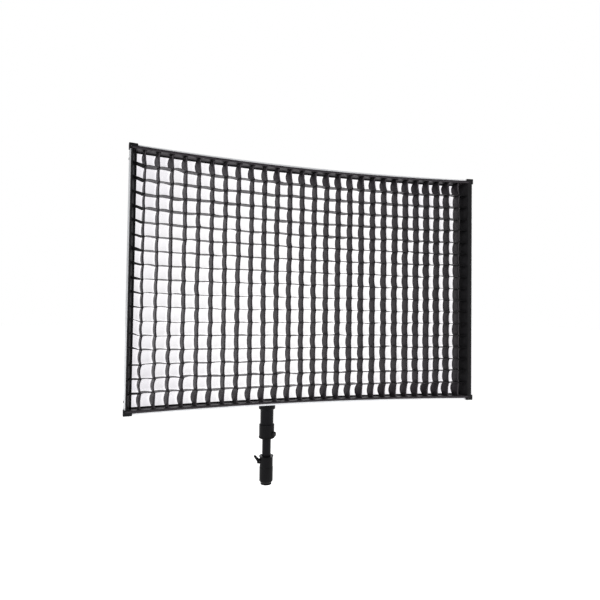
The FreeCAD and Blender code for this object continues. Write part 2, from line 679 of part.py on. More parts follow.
def rear_ribs():
    ribs = []
    for degrees in RIB_ANGLES:
        s = math.radians(degrees) * BOW_RADIUS
        half = RIB_WIDTH / 2
        t0 = BACKPLANE_T + BACKPLANE_THICKNESS + 0.2
        outer = straight_block(s, -half, half, t0, t0 + RIB_DEPTH, RAIL_BOTTOM_Z + 3, RAIL_TOP_Z - 3)
        groove = straight_block(s, -half + 2, half - 2, t0 + 2, t0 + RIB_DEPTH + 1, RAIL_BOTTOM_Z,
                                RAIL_TOP_Z)
        ribs.append(outer.cut(groove))
    return ribs


# ------------------------------------------------------------------ driver box
def box_at(x0, x1, y0, y1, z0, z1):
    return Part.makeBox(x1 - x0, y1 - y0, z1 - z0, FreeCAD.Vector(x0, y0, z0))


def lid_screw_places():
    heights = (BOX_BOTTOM_Z + 8, BOX_BOTTOM_Z + BOX_HEIGHT - 8)
    return [(x, z) for x in (BOX_X0 + 8, BOX_X1 - 8) for z in heights]


def driver_housing():
    z0, z1 = BOX_BOTTOM_Z, BOX_BOTTOM_Z + BOX_HEIGHT
    outer = box_at(BOX_X0, BOX_X1, FLOOR_Y - 8, LID_Y, z0, z1)
    corners = edges_at(outer, lambda e: e.BoundBox.YLength > 20)
    outer = rounded(outer, corners, 8.0)
    inner = box_at(BOX_X0 + BOX_WALL, BOX_X1 - BOX_WALL, FLOOR_Y + 2.5, LID_Y + 5,
                   z0 + BOX_WALL, z1 - BOX_WALL)
    inner = rounded(inner, edges_at(inner, lambda e: e.BoundBox.YLength > 20), 6.0)
    shell = outer.cut(inner)
    for x, z in lid_screw_places():
        post = box_at(x - 4, x + 4, FLOOR_Y + 1, LID_Y, z - 4, z + 4)
        shell = shell.fuse(post.common(outer))
        shell = shell.cut(cylinder(LID_SCREW_R, 12.0, FreeCAD.Vector(x, LID_Y - 12, z), Y_AXIS))
    back_of_panel = cylinder(BOW_RADIUS + RAIL_BACK_T + SHELL_THICKNESS + SEAT_GAP + 0.05, BOX_HEIGHT + 40,
                             FreeCAD.Vector(PANEL_X, AXIS_Y, z0 - 20), UP)
    shell = shell.cut(back_of_panel)
    lead_hole = cylinder(GROMMET_R, 20.0, FreeCAD.Vector(PANEL_X, FLOOR_Y - 5, LEAD_Z), Y_AXIS)
    return shell.cut(lead_hole).removeSplitter()


def driver_lid():
    lid = box_at(BOX_X0, BOX_X1, LID_Y, LID_Y + LID_THICKNESS, BOX_BOTTOM_Z, BOX_BOTTOM_Z + BOX_HEIGHT)
    lid = rounded(lid, edges_at(lid, lambda e: abs(e.BoundBox.YLength - LID_THICKNESS) < 0.01), 8.0)
    lid = rounded(lid, edges_at(lid, lambda e: e.BoundBox.YMin > LID_Y + 1), 1.2)
    for x, z in lid_screw_places():
        lid = lid.cut(cylinder(LID_SCREW_R, 10.0, FreeCAD.Vector(x, LID_Y - 3, z), Y_AXIS))
    lid = lid.cut(cylinder(DIMMER_SHAFT_R + 0.5, 10.0, FreeCAD.Vector(KNOB_X, LID_Y - 3, CONTROL_Z), Y_AXIS))
    switch_w = SWITCH_HALF_WIDTH + 2.0
    switch_h = SWITCH_HALF_HEIGHT + 2.0
    lid = lid.cut(box_at(SWITCH_X - switch_w, SWITCH_X + switch_w, LID_Y - 3, LID_Y + 8,
                         CONTROL_Z - switch_h, CONTROL_Z + switch_h))
    lid = lid.cut(box_at(INLET_X - INLET_HALF_WIDTH, INLET_X + INLET_HALF_WIDTH, LID_Y - 3, LID_Y + 8,
                         CONTROL_Z - INLET_HALF_HEIGHT, CONTROL_Z + INLET_HALF_HEIGHT))
    return lid


def lid_screws():
    screws = []
    for x, z in lid_screw_places():
        shank = cylinder(LID_SCREW_R, 10.0, FreeCAD.Vector(x, LID_Y + LID_THICKNESS - 10.0, z), Y_AXIS)
        head = cylinder(2.9, 1.6, FreeCAD.Vector(x, LID_Y + LID_THICKNESS, z), Y_AXIS)
        screws.append(shank.fuse(head).removeSplitter())
    return screws


def switch_bezel():
    """A frame through the lid that the rocker's pivot sits in."""
    w = SWITCH_HALF_WIDTH
    h = SWITCH_HALF_HEIGHT
    wall = 1.95
    body = box_at(SWITCH_X - w - wall, SWITCH_X + w + wall, LID_Y - 12, LID_Y + LID_THICKNESS + 0.1,
                  CONTROL_Z - h - wall, CONTROL_Z + h + wall)
    rim = box_at(SWITCH_X - w - 3.5, SWITCH_X + w + 3.5, LID_Y + LID_THICKNESS + 0.05,
                 LID_Y + LID_THICKNESS + 1.6, CONTROL_Z - h - 3.5, CONTROL_Z + h + 3.5)
    opening = box_at(SWITCH_X - w - SWITCH_GAP, SWITCH_X + w + SWITCH_GAP, LID_Y - 10, LID_Y + 20,
                     CONTROL_Z - h - 0.8, CONTROL_Z + h + 0.8)
    seats = cylinder(PIVOT_R + RUNNING, 2 * (w + PIVOT_LENGTH + 0.2),
                     FreeCAD.Vector(SWITCH_X - w - PIVOT_LENGTH - 0.2, LID_Y, CONTROL_Z), X_AXIS)
    return body.fuse(rim).cut(opening).cut(seats).removeSplitter()


def switch_rocker():
    """A rocker with two facets that meet over its pivot, lying over to its off side."""
    h = SWITCH_HALF_HEIGHT
    w = SWITCH_HALF_WIDTH
    y = LID_Y
    outline = [(y - 5, -h + 2.5), (y - 5, h - 2.5), (y + 1, h), (y + 6.2, h), (y + 4.2, 0), (y + 6.2, -h),
               (y + 1, -h)]
    face = face_of([FreeCAD.Vector(SWITCH_X - w, yy, CONTROL_Z + zz) for yy, zz in outline])
    rocker = face.extrude(X_AXIS * (2 * w))
    pivots = cylinder(PIVOT_R, 2 * (w + PIVOT_LENGTH),
                      FreeCAD.Vector(SWITCH_X - w - PIVOT_LENGTH, y, CONTROL_Z), X_AXIS)
    rocker = rocker.fuse(pivots).removeSplitter()
    rocker.rotate(FreeCAD.Vector(SWITCH_X, y, CONTROL_Z), X_AXIS, -SWITCH_TILT)
    return rocker


def dimmer_parts():
    centre = FreeCAD.Vector(KNOB_X, LID_Y, CONTROL_Z)
    encoder = box_at(KNOB_X - 7, KNOB_X + 7, LID_Y - 9, LID_Y - 0.05, CONTROL_Z - 7, CONTROL_Z + 7)
    encoder = encoder.cut(cylinder(DIMMER_SHAFT_R + RUNNING, 20, centre - Y_AXIS * 15, Y_AXIS))
    keep("dimmer_encoder", encoder)
    keep("dimmer_shaft", cylinder(DIMMER_SHAFT_R, 24.0, centre - Y_AXIS * 8, Y_AXIS))
    knob_base = centre + Y_AXIS * (LID_THICKNESS + 0.6)
    knob = cylinder(DIMMER_KNOB_R, 15.0, knob_base, Y_AXIS)
    knob = rounded(knob, edges_at(knob, lambda e: e.BoundBox.YMin > knob_base.y + 10), 1.8)
    for i in range(DIMMER_FLUTES):
        a = 2 * math.pi * i / DIMMER_FLUTES
        flute = FreeCAD.Vector(math.cos(a), 0, math.sin(a)) * (DIMMER_KNOB_R + 0.6)
        knob = knob.cut(cylinder(1.3, 12.0, knob_base + flute + Y_AXIS * 2.5, Y_AXIS))
    bore = cylinder(DIMMER_SHAFT_R, 16.0 - LID_THICKNESS - 0.6, knob_base, Y_AXIS)
    mark = box_at(KNOB_X - 0.6, KNOB_X + 0.6, knob_base.y + 14.4, knob_base.y + 16, CONTROL_Z + 4,
                  CONTROL_Z + DIMMER_KNOB_R + 1)
    keep("dimmer_knob", knob.cut(bore).cut(mark))


def power_inlet():
    """A three-pin appliance inlet with its recess facing back."""
    w, h = INLET_HALF_WIDTH - 0.1, INLET_HALF_HEIGHT - 0.1
    y1 = LID_Y + LID_THICKNESS
    body = box_at(INLET_X - w, INLET_X + w, y1 - INLET_DEPTH, y1 + 0.1, CONTROL_Z - h, CONTROL_Z + h)
    rim = box_at(INLET_X - w - 3, INLET_X + w + 3, y1 + 0.05, y1 + 2.0, CONTROL_Z - h - 2.5,
                 CONTROL_Z + h + 2.5)
    recess = box_at(INLET_X - 11.8, INLET_X + 11.8, y1 - INLET_RECESS, y1 + 5, CONTROL_Z - 7.8,
                    CONTROL_Z + 7.8)
    return body.fuse(rim).cut(recess).removeSplitter()


def inlet_pins():
    y1 = LID_Y + LID_THICKNESS
    pins = []
    for dx, dz in ((-7.0, -1.5), (7.0, -1.5), (0.0, 2.0)):
        x, z = INLET_X + dx, CONTROL_Z + dz
        pins.append(box_at(x - 1, x + 1, y1 - INLET_RECESS + 0.1, y1 - 6, z - 2, z + 2))
    return pins


def driver_inside():
    board_y = FLOOR_Y + 8.0
    z0, z1 = BOX_BOTTOM_Z + 14, BOX_BOTTOM_Z + BOX_HEIGHT - 14
    keep("driver_board", box_at(BOX_X0 + 16, BOX_X1 - 16, board_y, board_y + 1.6, z0, z1))
    top_y = board_y + 1.65
    parts = [box_at(BOX_X0 + 30, BOX_X0 + 62, top_y, top_y + 18, z1 - 36, z1 - 6),
             box_at(BOX_X1 - 70, BOX_X1 - 24, top_y, top_y + 10, z1 - 30, z1 - 12)]
    for i in range(3):
        base = FreeCAD.Vector(PANEL_X - 15 + 16 * i, top_y, z1 - 12)
        parts.append(cylinder(5.5, 16.0, base, Y_AXIS))
    keep("driver_components", parts)
    lead_start = FreeCAD.Vector(PANEL_X, BACK_Y + BACKPLANE_T + BACKPLANE_THICKNESS + 0.05, LEAD_Z)
    lead_length = board_y - 0.05 - lead_start.y
    keep("led_lead", cylinder(LEAD_R, lead_length, lead_start, Y_AXIS))
    ring = cylinder(GROMMET_R - 0.05, 7.0, FreeCAD.Vector(PANEL_X, FLOOR_Y - 2.5, LEAD_Z), Y_AXIS)
    keep("lead_grommet", ring.cut(cylinder(LEAD_R + 0.05, 20, lead_start, Y_AXIS)))


# ------------------------------------------------------------------ build
def build_pole():
    keep("receiver_body", receiver_body())
    ring = turned([(TUBE_R + 0.05, SHOULDER_Z + 0.02), (UPPER_BODY_R, SHOULDER_Z + 0.02),
                   (RECEIVER_RING_R, RECEIVER_RING_TOP - 2.0), (RECEIVER_RING_R, RECEIVER_RING_TOP),
                   (TUBE_R + 0.05, RECEIVER_RING_TOP)])
    keep("receiver_ring", ring)
    keep("inner_tube", inner_tube())
    keep("tube_pin", cylinder(PIN_R, 2 * TUBE_R - 0.6, FreeCAD.Vector(-TUBE_R + 0.3, 0, PIN_Z), X_AXIS))
    stop = turned([(TUBE_BORE_R, TUBE_TOP), (OUTER_BORE_R - 0.5, TUBE_TOP),
                   (OUTER_BORE_R - 0.5, TUBE_TOP + 4.0), (TUBE_BORE_R, TUBE_TOP + 4.0)])
    keep("tube_stop_ring", stop)
    keep("lever_handle", lever_handle())
    keep("lever_screw", lever_screw())
    keep("lever_pad", lever_pad())
    bush = turned([(TUBE_R + RUNNING, COLLAR_SHOULDER + 0.3), (OUTER_BORE_R - RUNNING, COLLAR_SHOULDER + 0.3),
                   (OUTER_BORE_R - RUNNING, BUSH_TOP), (TUBE_R + RUNNING, BUSH_TOP)])
    keep("guide_bush", bush)
    keep("bush_circlip", turned([(TUBE_R + 0.5, BUSH_TOP + 0.3), (OUTER_BORE_R, BUSH_TOP + 0.3),
                                 (OUTER_BORE_R, BUSH_TOP + 1.8), (TUBE_R + 0.5, BUSH_TOP + 1.8)]))
    keep("outer_tube", turned([(OUTER_BORE_R, COLLAR_SHOULDER), (OUTER_R, COLLAR_SHOULDER),
                               (OUTER_R, FLANGE_BOTTOM), (OUTER_BORE_R, FLANGE_BOTTOM)]))
    keep("lock_collar", lock_collar())
    keep("lock_knob", lock_knob())
    keep("lock_screw", lock_screw())
    keep("brake_pad", brake_pad())
    keep("foot_flange", foot_flange())
    keep("foot_screws", foot_screws())


def build_frame():
    rails = {True: rail(True), False: rail(False)}
    uprights = {-1: upright(-1), 1: upright(1)}
    rails, uprights = drilled_rails(rails, uprights)
    keep("top_rail", rails[True])
    keep("bottom_rail", rails[False])
    keep("left_upright", uprights[-1])
    keep("right_upright", uprights[1])
    brackets = []
    screws = []
    for top, height_name in ((True, "top"), (False, "bottom")):
        for side, side_name in ((-1, "left"), (1, "right")):
            keep("corner_cap_" + height_name + "_" + side_name, corner_cap(side, top))
            brackets.append(corner_bracket(side, top))
            screws += corner_screws(side, top)
    keep("corner_brackets", brackets)
    keep("corner_screws", screws)


def build_back():
    edge = FRAME_HALF_ARC - 3.5
    plane = bowed_block(BACKPLANE_T, BACKPLANE_T + BACKPLANE_THICKNESS, RAIL_BOTTOM_Z + 3.5,
                        RAIL_TOP_Z - 3.5, -edge, edge)
    keep("led_backplane", plane)
    keep("led_boards", led_boards())
    keep("led_emitters", led_emitters())
    keep("rear_ribs", rear_ribs())
    keep("back_shell", back_shell())
    keep("back_shell_screws", back_shell_screws())


def build_driver():
    keep("driver_housing", driver_housing())
    keep("driver_lid", driver_lid())
    keep("lid_screws", lid_screws())
    driver_inside()
    keep("power_inlet", power_inlet())
    keep("inlet_pins", inlet_pins())
    keep("switch_bezel", switch_bezel())
    keep("switch_rocker", switch_rocker())
    dimmer_parts()


build_pole()
build_frame()
soft_front()
build_back()
build_driver()

os.makedirs("parts", exist_ok=True)
for name, shape in NODES.items():
    if not shape.isValid():
        print("not valid:", name)
    shape.exportStep("parts/" + name + ".step")
print(len(NODES), "nodes")
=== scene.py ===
import math
import random
import bpy
import bmesh
from mathutils import Matrix, Vector


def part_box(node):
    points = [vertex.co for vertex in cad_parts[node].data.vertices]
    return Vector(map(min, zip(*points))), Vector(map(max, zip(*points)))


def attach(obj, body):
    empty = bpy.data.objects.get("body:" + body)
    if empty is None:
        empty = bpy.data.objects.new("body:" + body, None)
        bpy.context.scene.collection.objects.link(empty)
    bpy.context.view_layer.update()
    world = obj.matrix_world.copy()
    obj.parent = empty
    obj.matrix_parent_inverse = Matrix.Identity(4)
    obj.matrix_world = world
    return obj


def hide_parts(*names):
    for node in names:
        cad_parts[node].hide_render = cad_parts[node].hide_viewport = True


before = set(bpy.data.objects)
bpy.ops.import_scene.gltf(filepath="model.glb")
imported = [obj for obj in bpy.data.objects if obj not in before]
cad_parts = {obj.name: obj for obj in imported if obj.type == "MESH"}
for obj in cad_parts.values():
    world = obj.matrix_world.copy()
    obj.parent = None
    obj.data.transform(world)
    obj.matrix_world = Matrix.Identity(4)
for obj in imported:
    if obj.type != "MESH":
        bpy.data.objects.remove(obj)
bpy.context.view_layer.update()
BODY = "panel_head"

# ------------------------------------------------------------------ sizes, in metres
# On the panel, s is the arc length along the bow, t the depth behind the grid's front, z the height.
MM = 0.001
BOW_RADIUS = 3.107
COLUMNS = 27
COLUMN_REACH = 466.0 * MM
COLUMN_CROWDING = 17.5 * MM
COLUMN_SKEW = 7.4 * MM
MIDDLE_COLUMN = 5.4 * MM
ROW_PITCH = 35.2 * MM
ROWS = 17
STRIP_FRONT = 0.7 * MM
STRIP_BACK = 28.0 * MM
BAND_DEPTH = 31.8 * MM
BAND_THICKNESS = 2.2 * MM
LEFT_SLOPE = 6.5 * MM
RIGHT_SLOPE = 16.0 * MM
RIGHT_HEM = 9.0 * MM
DIFFUSER_DEPTH = 34.3 * MM

band_top_low, band_top_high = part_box("grid_band_top")
band_bottom_low, band_bottom_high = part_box("grid_band_bottom")
PANEL_X = (band_top_low.x + band_top_high.x) / 2
FRONT_Y = band_top_high.y - BAND_DEPTH
AXIS_Y = FRONT_Y - BOW_RADIUS
GRID_TOP = band_top_high.z
GRID_BOTTOM = band_bottom_low.z
GRID_MIDDLE_Z = (GRID_TOP + GRID_BOTTOM) / 2
BAND_HALF_ARC = math.asin((band_top_high.x - band_top_low.x) / 2 / (BOW_RADIUS + BAND_DEPTH)) * BOW_RADIUS
dice = random.Random(11)


def on_panel(s, t, z):
    angle = s / BOW_RADIUS
    r = BOW_RADIUS + t
    return Vector((PANEL_X + r * math.sin(angle), AXIS_Y + r * math.cos(angle), z))


def column_s(k):
    """The upright strips stand a little closer together towards the sides."""
    middle = (COLUMNS - 1) / 2
    x = (k - middle) / middle
    return MIDDLE_COLUMN + COLUMN_REACH * x - COLUMN_SKEW * x ** 2 - COLUMN_CROWDING * x ** 3


def row_z(j):
    return GRID_MIDDLE_Z + ROW_PITCH * (j - (ROWS - 1) / 2)


# ------------------------------------------------------------------ node helpers
class Paint:
    """One node material, with short calls for the nodes it is built from."""

    def __init__(self, name):
        self.material = bpy.data.materials.new(name)
        self.material.use_nodes = True
        self.tree = self.material.node_tree
        self.shader = self.tree.nodes["Principled BSDF"]
        self.place = self.node("ShaderNodeTexCoord").outputs["Object"]

    def node(self, kind):
        return self.tree.nodes.new(kind)

    def link(self, output, socket):
        self.tree.links.new(output, socket)

    def set(self, **values):
        for name, value in values.items():
            self.shader.inputs[name.replace("_", " ")].default_value = value

    def stretched(self, scale):
        mapping = self.node("ShaderNodeMapping")
        mapping.inputs["Scale"].default_value = scale
        self.link(self.place, mapping.inputs["Vector"])
        return mapping.outputs["Vector"]

    def noise(self, scale, detail=3.0, vector=None):
        noise = self.node("ShaderNodeTexNoise")
        noise.inputs["Scale"].default_value = scale
        noise.inputs["Detail"].default_value = detail
        noise.inputs["Roughness"].default_value = 0.55
        self.link(vector or self.place, noise.inputs["Vector"])
        return noise.outputs["Fac"]

    def waves(self, scale, direction, distortion):
        wave = self.node("ShaderNodeTexWave")
        wave.bands_direction = direction
        wave.inputs["Scale"].default_value = scale
        wave.inputs["Distortion"].default_value = distortion
        wave.inputs["Detail"].default_value = 1.0
        self.link(self.place, wave.inputs["Vector"])
        return wave.outputs["Fac"]

    def math(self, operation, a, b):
        node = self.node("ShaderNodeMath")
        node.operation = operation
        for socket, value in zip(node.inputs, (a, b)):
            if isinstance(value, (int, float)):
                socket.default_value = value
            else:
                self.link(value, socket)
        return node.outputs["Value"]

    def ramp(self, factor, stops):
        """stops are (position, grey or colour) pairs."""
        ramp = self.node("ShaderNodeValToRGB")
        elements = ramp.color_ramp.elements
        while len(elements) < len(stops):
            elements.new(0.5)
        for element, (position, colour) in zip(elements, stops):
            element.position = position
            if isinstance(colour, (int, float)):
                colour = (colour, colour, colour)
            element.color = (*colour, 1.0)
        self.link(factor, ramp.inputs["Fac"])
        return ramp.outputs["Color"]

    def blend(self, factor, a, b, mode="MIX"):
        mix = self.node("ShaderNodeMix")
        mix.data_type = "RGBA"
        mix.blend_type = mode
        if isinstance(factor, (int, float)):
            mix.inputs["Factor"].default_value = factor
        else:
            self.link(factor, mix.inputs["Factor"])
        for socket, value in ((mix.inputs["A"], a), (mix.inputs["B"], b)):
            if isinstance(value, tuple):
                socket.default_value = (*value, 1.0)
            else:
                self.link(value, socket)
        return mix.outputs["Result"]

    def bump(self, height, distance, strength=0.5, rounded=None):
        """distance is in metres; rounded softens the CAD edges over that radius."""
        bump = self.node("ShaderNodeBump")
        bump.inputs["Strength"].default_value = strength
        bump.inputs["Distance"].default_value = distance
        self.link(height, bump.inputs["Height"])
        if rounded:
            bevel = self.node("ShaderNodeBevel")
            bevel.samples = 4
            bevel.inputs["Radius"].default_value = rounded
            self.link(bevel.outputs["Normal"], bump.inputs["Normal"])
        self.link(bump.outputs["Normal"], self.shader.inputs["Normal"])

    def colour(self, output):
        self.link(output, self.shader.inputs["Base Color"])

    def roughness(self, factor, low, high):
        self.link(self.ramp(factor, [(0.2, low), (0.8, high)]), self.shader.inputs["Roughness"])


def speckled(name, dark, light, grain, roughness, bump, **sockets):
    """A finish with a fine moulded or sprayed grain and a slow drift in its colour."""
    paint = Paint(name)
    paint.set(**sockets)
    drift = paint.noise(14.0, 2.0)
    fine = paint.noise(grain, 3.0)
    body = paint.ramp(drift, [(0.3, dark), (0.7, light)])
    grains = paint.ramp(fine, [(0.35, 0.72), (0.65, 1.0)])
    paint.colour(paint.blend(0.6, body, grains, "MULTIPLY"))
    paint.roughness(drift, roughness - 0.06, roughness + 0.08)
    paint.bump(fine, bump, 0.6, rounded=0.4 * MM)
    return paint.material


def drawn_metal(name, dark, light, lines, roughness, direction, **sockets):
    """Metal with the fine lines of drawing, rolling or turning along one direction."""
    paint = Paint(name)
    paint.set(**sockets)
    scale = [lines] * 3
    for axis in direction:
        scale["XYZ".index(axis)] = lines / 90
    grain = paint.noise(1.0, 3.0, paint.stretched(tuple(scale)))
    drift = paint.noise(9.0, 2.0)
    body = paint.ramp(drift, [(0.3, dark), (0.7, light)])
    shade = paint.ramp(grain, [(0.3, 0.82), (0.7, 1.0)])
    paint.colour(paint.blend(0.7, body, shade, "MULTIPLY"))
    paint.roughness(grain, roughness - 0.07, roughness + 0.1)
    paint.bump(grain, 0.02 * MM, 0.5, rounded=0.3 * MM)
    return paint.material


def woven(name, dark, light, thread, roughness, bump, **sockets):
    """Plain-woven cloth: two sets of threads crossing, colour drift and a little lint."""
    paint = Paint(name)
    paint.set(**sockets)
    count = 0.5 / thread
    warp = paint.waves(count, "DIAGONAL", 0.4)
    weft = paint.waves(count, "Z", 0.4)
    weave = paint.math("MAXIMUM", warp, weft)
    drift = paint.noise(38.0, 4.0)
    lint = paint.noise(900.0, 2.0)
    body = paint.ramp(drift, [(0.3, dark), (0.7, light)])
    threads = paint.ramp(weave, [(0.1, 0.6), (0.9, 1.0)])
    fuzz = paint.ramp(lint, [(0.45, 1.0), (0.75, 1.25)])
    shaded = paint.blend(0.55, body, threads, "MULTIPLY")
    paint.colour(paint.blend(1.0, shaded, fuzz, "MULTIPLY"))
    paint.roughness(drift, roughness - 0.05, roughness + 0.08)
    height = paint.math("ADD", weave, paint.math("MULTIPLY", drift, 1.5))
    paint.bump(height, bump, 0.55)
    return paint.material


# ------------------------------------------------------------------ materials
def make_materials():
    made = {}
    made["casting"] = speckled("black_powder_coat", (0.0035, 0.0035, 0.004), (0.006, 0.006, 0.007), 1300.0,
                               0.38, 0.03 * MM, Specular_IOR_Level=0.08)
    made["tube"] = drawn_metal("black_anodised", (0.004, 0.004, 0.005), (0.007, 0.007, 0.009), 2600.0,
                               0.32, "Z", Specular_IOR_Level=0.08)
    made["steel"] = drawn_metal("zinc_plate", (0.42, 0.42, 0.43), (0.6, 0.6, 0.6), 2400.0, 0.34, "X",
                                Metallic=1.0)
    made["brass"] = drawn_metal("turned_brass", (0.55, 0.4, 0.18), (0.75, 0.58, 0.3), 2400.0, 0.3, "X",
                                Metallic=1.0)
    made["bush"] = speckled("natural_acetal", (0.66, 0.66, 0.62), (0.76, 0.76, 0.72), 900.0, 0.45,
                            0.01 * MM)
    made["plastic"] = speckled("black_plastic", (0.005, 0.005, 0.0055), (0.009, 0.009, 0.0095), 1700.0,
                               0.44, 0.03 * MM, Specular_IOR_Level=0.18)
    made["cap"] = speckled("cap_plastic", (0.004, 0.004, 0.0045), (0.007, 0.007, 0.008), 1500.0, 0.45,
                           0.04 * MM, Specular_IOR_Level=0.15)
    made["screw"] = speckled("black_oxide", (0.02, 0.02, 0.02), (0.05, 0.05, 0.05), 2200.0, 0.4,
                             0.01 * MM, Metallic=0.7)
    made["rail"] = drawn_metal("satin_anodised", (0.72, 0.73, 0.75), (0.82, 0.83, 0.85), 2600.0, 0.36,
                               "XY", Metallic=0.6)
    made["upright"] = drawn_metal("satin_anodised_upright", (0.72, 0.73, 0.75), (0.82, 0.83, 0.85),
                                  2600.0, 0.36, "Z", Metallic=0.6)
    made["sheet"] = drawn_metal("mill_aluminium", (0.62, 0.63, 0.64), (0.74, 0.75, 0.76), 1500.0, 0.42,
                                "Z", Metallic=1.0)
    made["shell"] = speckled("textured_black_paint", (0.016, 0.016, 0.018), (0.028, 0.028, 0.031),
                             620.0, 0.5, 0.09 * MM)
    made["board"] = speckled("white_solder_mask", (0.72, 0.72, 0.7), (0.82, 0.82, 0.8), 500.0, 0.35,
                             0.01 * MM)
    made["led"] = speckled("phosphor", (0.78, 0.62, 0.16), (0.88, 0.74, 0.25), 700.0, 0.3, 0.02 * MM)
    made["green"] = speckled("green_solder_mask", (0.012, 0.1, 0.04), (0.02, 0.16, 0.07), 420.0, 0.3,
                             0.02 * MM)
    made["component"] = speckled("component_black", (0.02, 0.02, 0.022), (0.04, 0.04, 0.043), 800.0,
                                 0.42, 0.02 * MM)
    made["rubber"] = speckled("rubber", (0.012, 0.012, 0.012), (0.02, 0.02, 0.02), 500.0, 0.7,
                              0.03 * MM)
    made["red"] = speckled("red_switch", (0.3, 0.012, 0.01), (0.38, 0.02, 0.016), 900.0, 0.24,
                           0.008 * MM)
    made["grid"] = woven("grid_nylon", (0.0105, 0.009, 0.0108), (0.0165, 0.0142, 0.017), 0.45 * MM, 0.36,
                         0.1 * MM, Sheen_Weight=0.07, Sheen_Roughness=0.35, Specular_IOR_Level=0.36,
                         Specular_Tint=(1.0, 0.92, 0.99, 1.0))
    made["band"] = woven("band_nylon", (0.006, 0.0057, 0.0065), (0.01, 0.0095, 0.0108), 0.6 * MM, 0.55,
                         0.14 * MM, Specular_IOR_Level=0.14)
    # Darker than the strips' nylon: partly the black tack thread, partly painted shade on the crossings,
    # the folded ends and the level strips' end cells.
    made["tack"] = woven("tack_thread_and_painted_shade", (0.003, 0.003, 0.0034), (0.006, 0.0056, 0.0064), 0.3 * MM, 0.65,
                         0.12 * MM, Specular_IOR_Level=0.1)
    made["tape"] = speckled("looped_pile", (0.01, 0.01, 0.011), (0.03, 0.03, 0.032), 1500.0, 0.9,
                            0.3 * MM)
    made["diffuser"] = diffuser_cloth()
    return made


GLOW_X = PANEL_X - 0.03      # the panel is brightest here, at the middle of its height
GLOW_HALF_WIDTH = 0.5
GLOW_HALF_HEIGHT = 0.46


def diffuser_cloth():
    """White diffusion cloth, lit from behind, brightest near the middle of the panel."""
    paint = Paint("diffusion_cloth")
    count = 0.5 / (0.7 * MM)
    weave = paint.math("MAXIMUM", paint.waves(count, "X", 0.5), paint.waves(count, "Z", 0.5))
    drift = paint.noise(9.0, 3.0)
    body = paint.ramp(drift, [(0.3, (0.86, 0.85, 0.88)), (0.7, (0.92, 0.91, 0.93))])
    threads = paint.ramp(weave, [(0.1, 0.93), (0.9, 1.0)])
    paint.colour(paint.blend(0.8, body, threads, "MULTIPLY"))
    paint.roughness(drift, 0.75, 0.9)
    paint.bump(weave, 0.05 * MM, 0.3)
    parts = paint.node("ShaderNodeSeparateXYZ")
    paint.link(paint.place, parts.inputs["Vector"])
    across = paint.math("SUBTRACT", parts.outputs["X"], GLOW_X)
    across = paint.math("DIVIDE", across, GLOW_HALF_WIDTH)
    up = paint.math("SUBTRACT", parts.outputs["Z"], GRID_MIDDLE_Z)
    up = paint.math("DIVIDE", up, GLOW_HALF_HEIGHT)
    away = paint.math("ADD", paint.math("MULTIPLY", across, across), paint.math("MULTIPLY", up, up))
    glow = paint.ramp(away, [(0.0, (0.86, 0.85, 0.85)), (0.45, (0.81, 0.8, 0.81)),
                             (1.0, (0.68, 0.665, 0.695))])
    paint.link(glow, paint.shader.inputs["Emission Color"])
    paint.set(Emission_Strength=1.0, Specular_IOR_Level=0.2)
    return paint.material


# ------------------------------------------------------------------ mesh helpers
class Shape:
    """Points and faces collected part by part, then made into one piece."""

    def __init__(self):
        self.points = []
        self.faces = []

    def loft(self, rings):
        """Joins rings of equal length into a closed skin with both ends filled."""
        start = len(self.points)
        count = len(rings[0])
        for ring in rings:
            self.points += ring
        for i in range(len(rings) - 1):
            base = start + i * count
            for j in range(count):
                after = (j + 1) % count
                self.faces.append((base + j, base + after, base + count + after, base + count + j))
        last = start + (len(rings) - 1) * count
        self.faces.append(tuple(start + j for j in reversed(range(count))))
        self.faces.append(tuple(last + j for j in range(count)))

    def make(self, name, material, sharp=40.0):
        mesh = bpy.data.meshes.new(name)
        mesh.from_pydata(self.points, [], self.faces)
        builder = bmesh.new()
        builder.from_mesh(mesh)
        bmesh.ops.recalc_face_normals(builder, faces=builder.faces)
        builder.to_mesh(mesh)
        builder.free()
        mesh.shade_smooth()
        mesh.set_sharp_from_angle(angle=math.radians(sharp))
        piece = bpy.data.objects.new(name, mesh)
        bpy.context.scene.collection.objects.link(piece)
        mesh.materials.append(material)
        return piece


def ribbon_outline(hem, sheet, tail):
    """(depth share, half thickness) round one side of a strip: a rolled front hem, the cloth, its tail."""
    return [(0.0, 0.0), (0.012, hem * 0.75), (0.05, hem), (0.13, hem * 0.95), (0.17, sheet),
            (0.4, sheet), (0.65, sheet), (0.88, sheet), (0.93, tail), (0.985, tail * 0.8), (1.0, 0.0)]


def both_sides(outline):
    """The whole loop as (depth share, signed half thickness)."""
    return outline + [(d, -h) for d, h in outline[-2:0:-1]]


# ------------------------------------------------------------------ the grid
# Upright strips are columns, counted k from the left; level strips are rows, counted j from the bottom.
CELL_STEPS = 8               # a strip has this many rings of points from one crossing to the next
UPRIGHT_EDGES = (1.7 * MM, 0.7 * MM, 1.0 * MM)     # half thicknesses: front hem, cloth, back edge
LEVEL_EDGES = (0.75 * MM, 0.4 * MM, 0.5 * MM)
NODE_SHIFT = 0.45 * MM       # how far a crossing is sewn out of place along the bow,
NODE_LIFT = 0.7 * MM         # and up or down
LEAN = 5.6 * MM              # the strips' back edges hang over to the left
CELL_RECESS = 1.8 * MM       # between crossings the front edge is pulled back
BACK_NOTCH = 1.0 * MM        # at a crossing an upright's back edge stops short of STRIP_BACK,
BACK_BULGE = 1.6 * MM        # and between crossings it comes out again by this much
END_RECESS = 3.0 * MM        # at the border an upright's front edge runs back into the grid,
LEVEL_RECESS = 1.8 * MM      # and a level strip's does so less
LEFT_RISE = 5.0 * MM         # the level strips meet the left border above their row,
LEFT_DROP = 3.0 * MM         # except the lowest ones, which meet it below
RIGHT_LAP = 5.0 * MM         # they end this far inside the right border's outer face
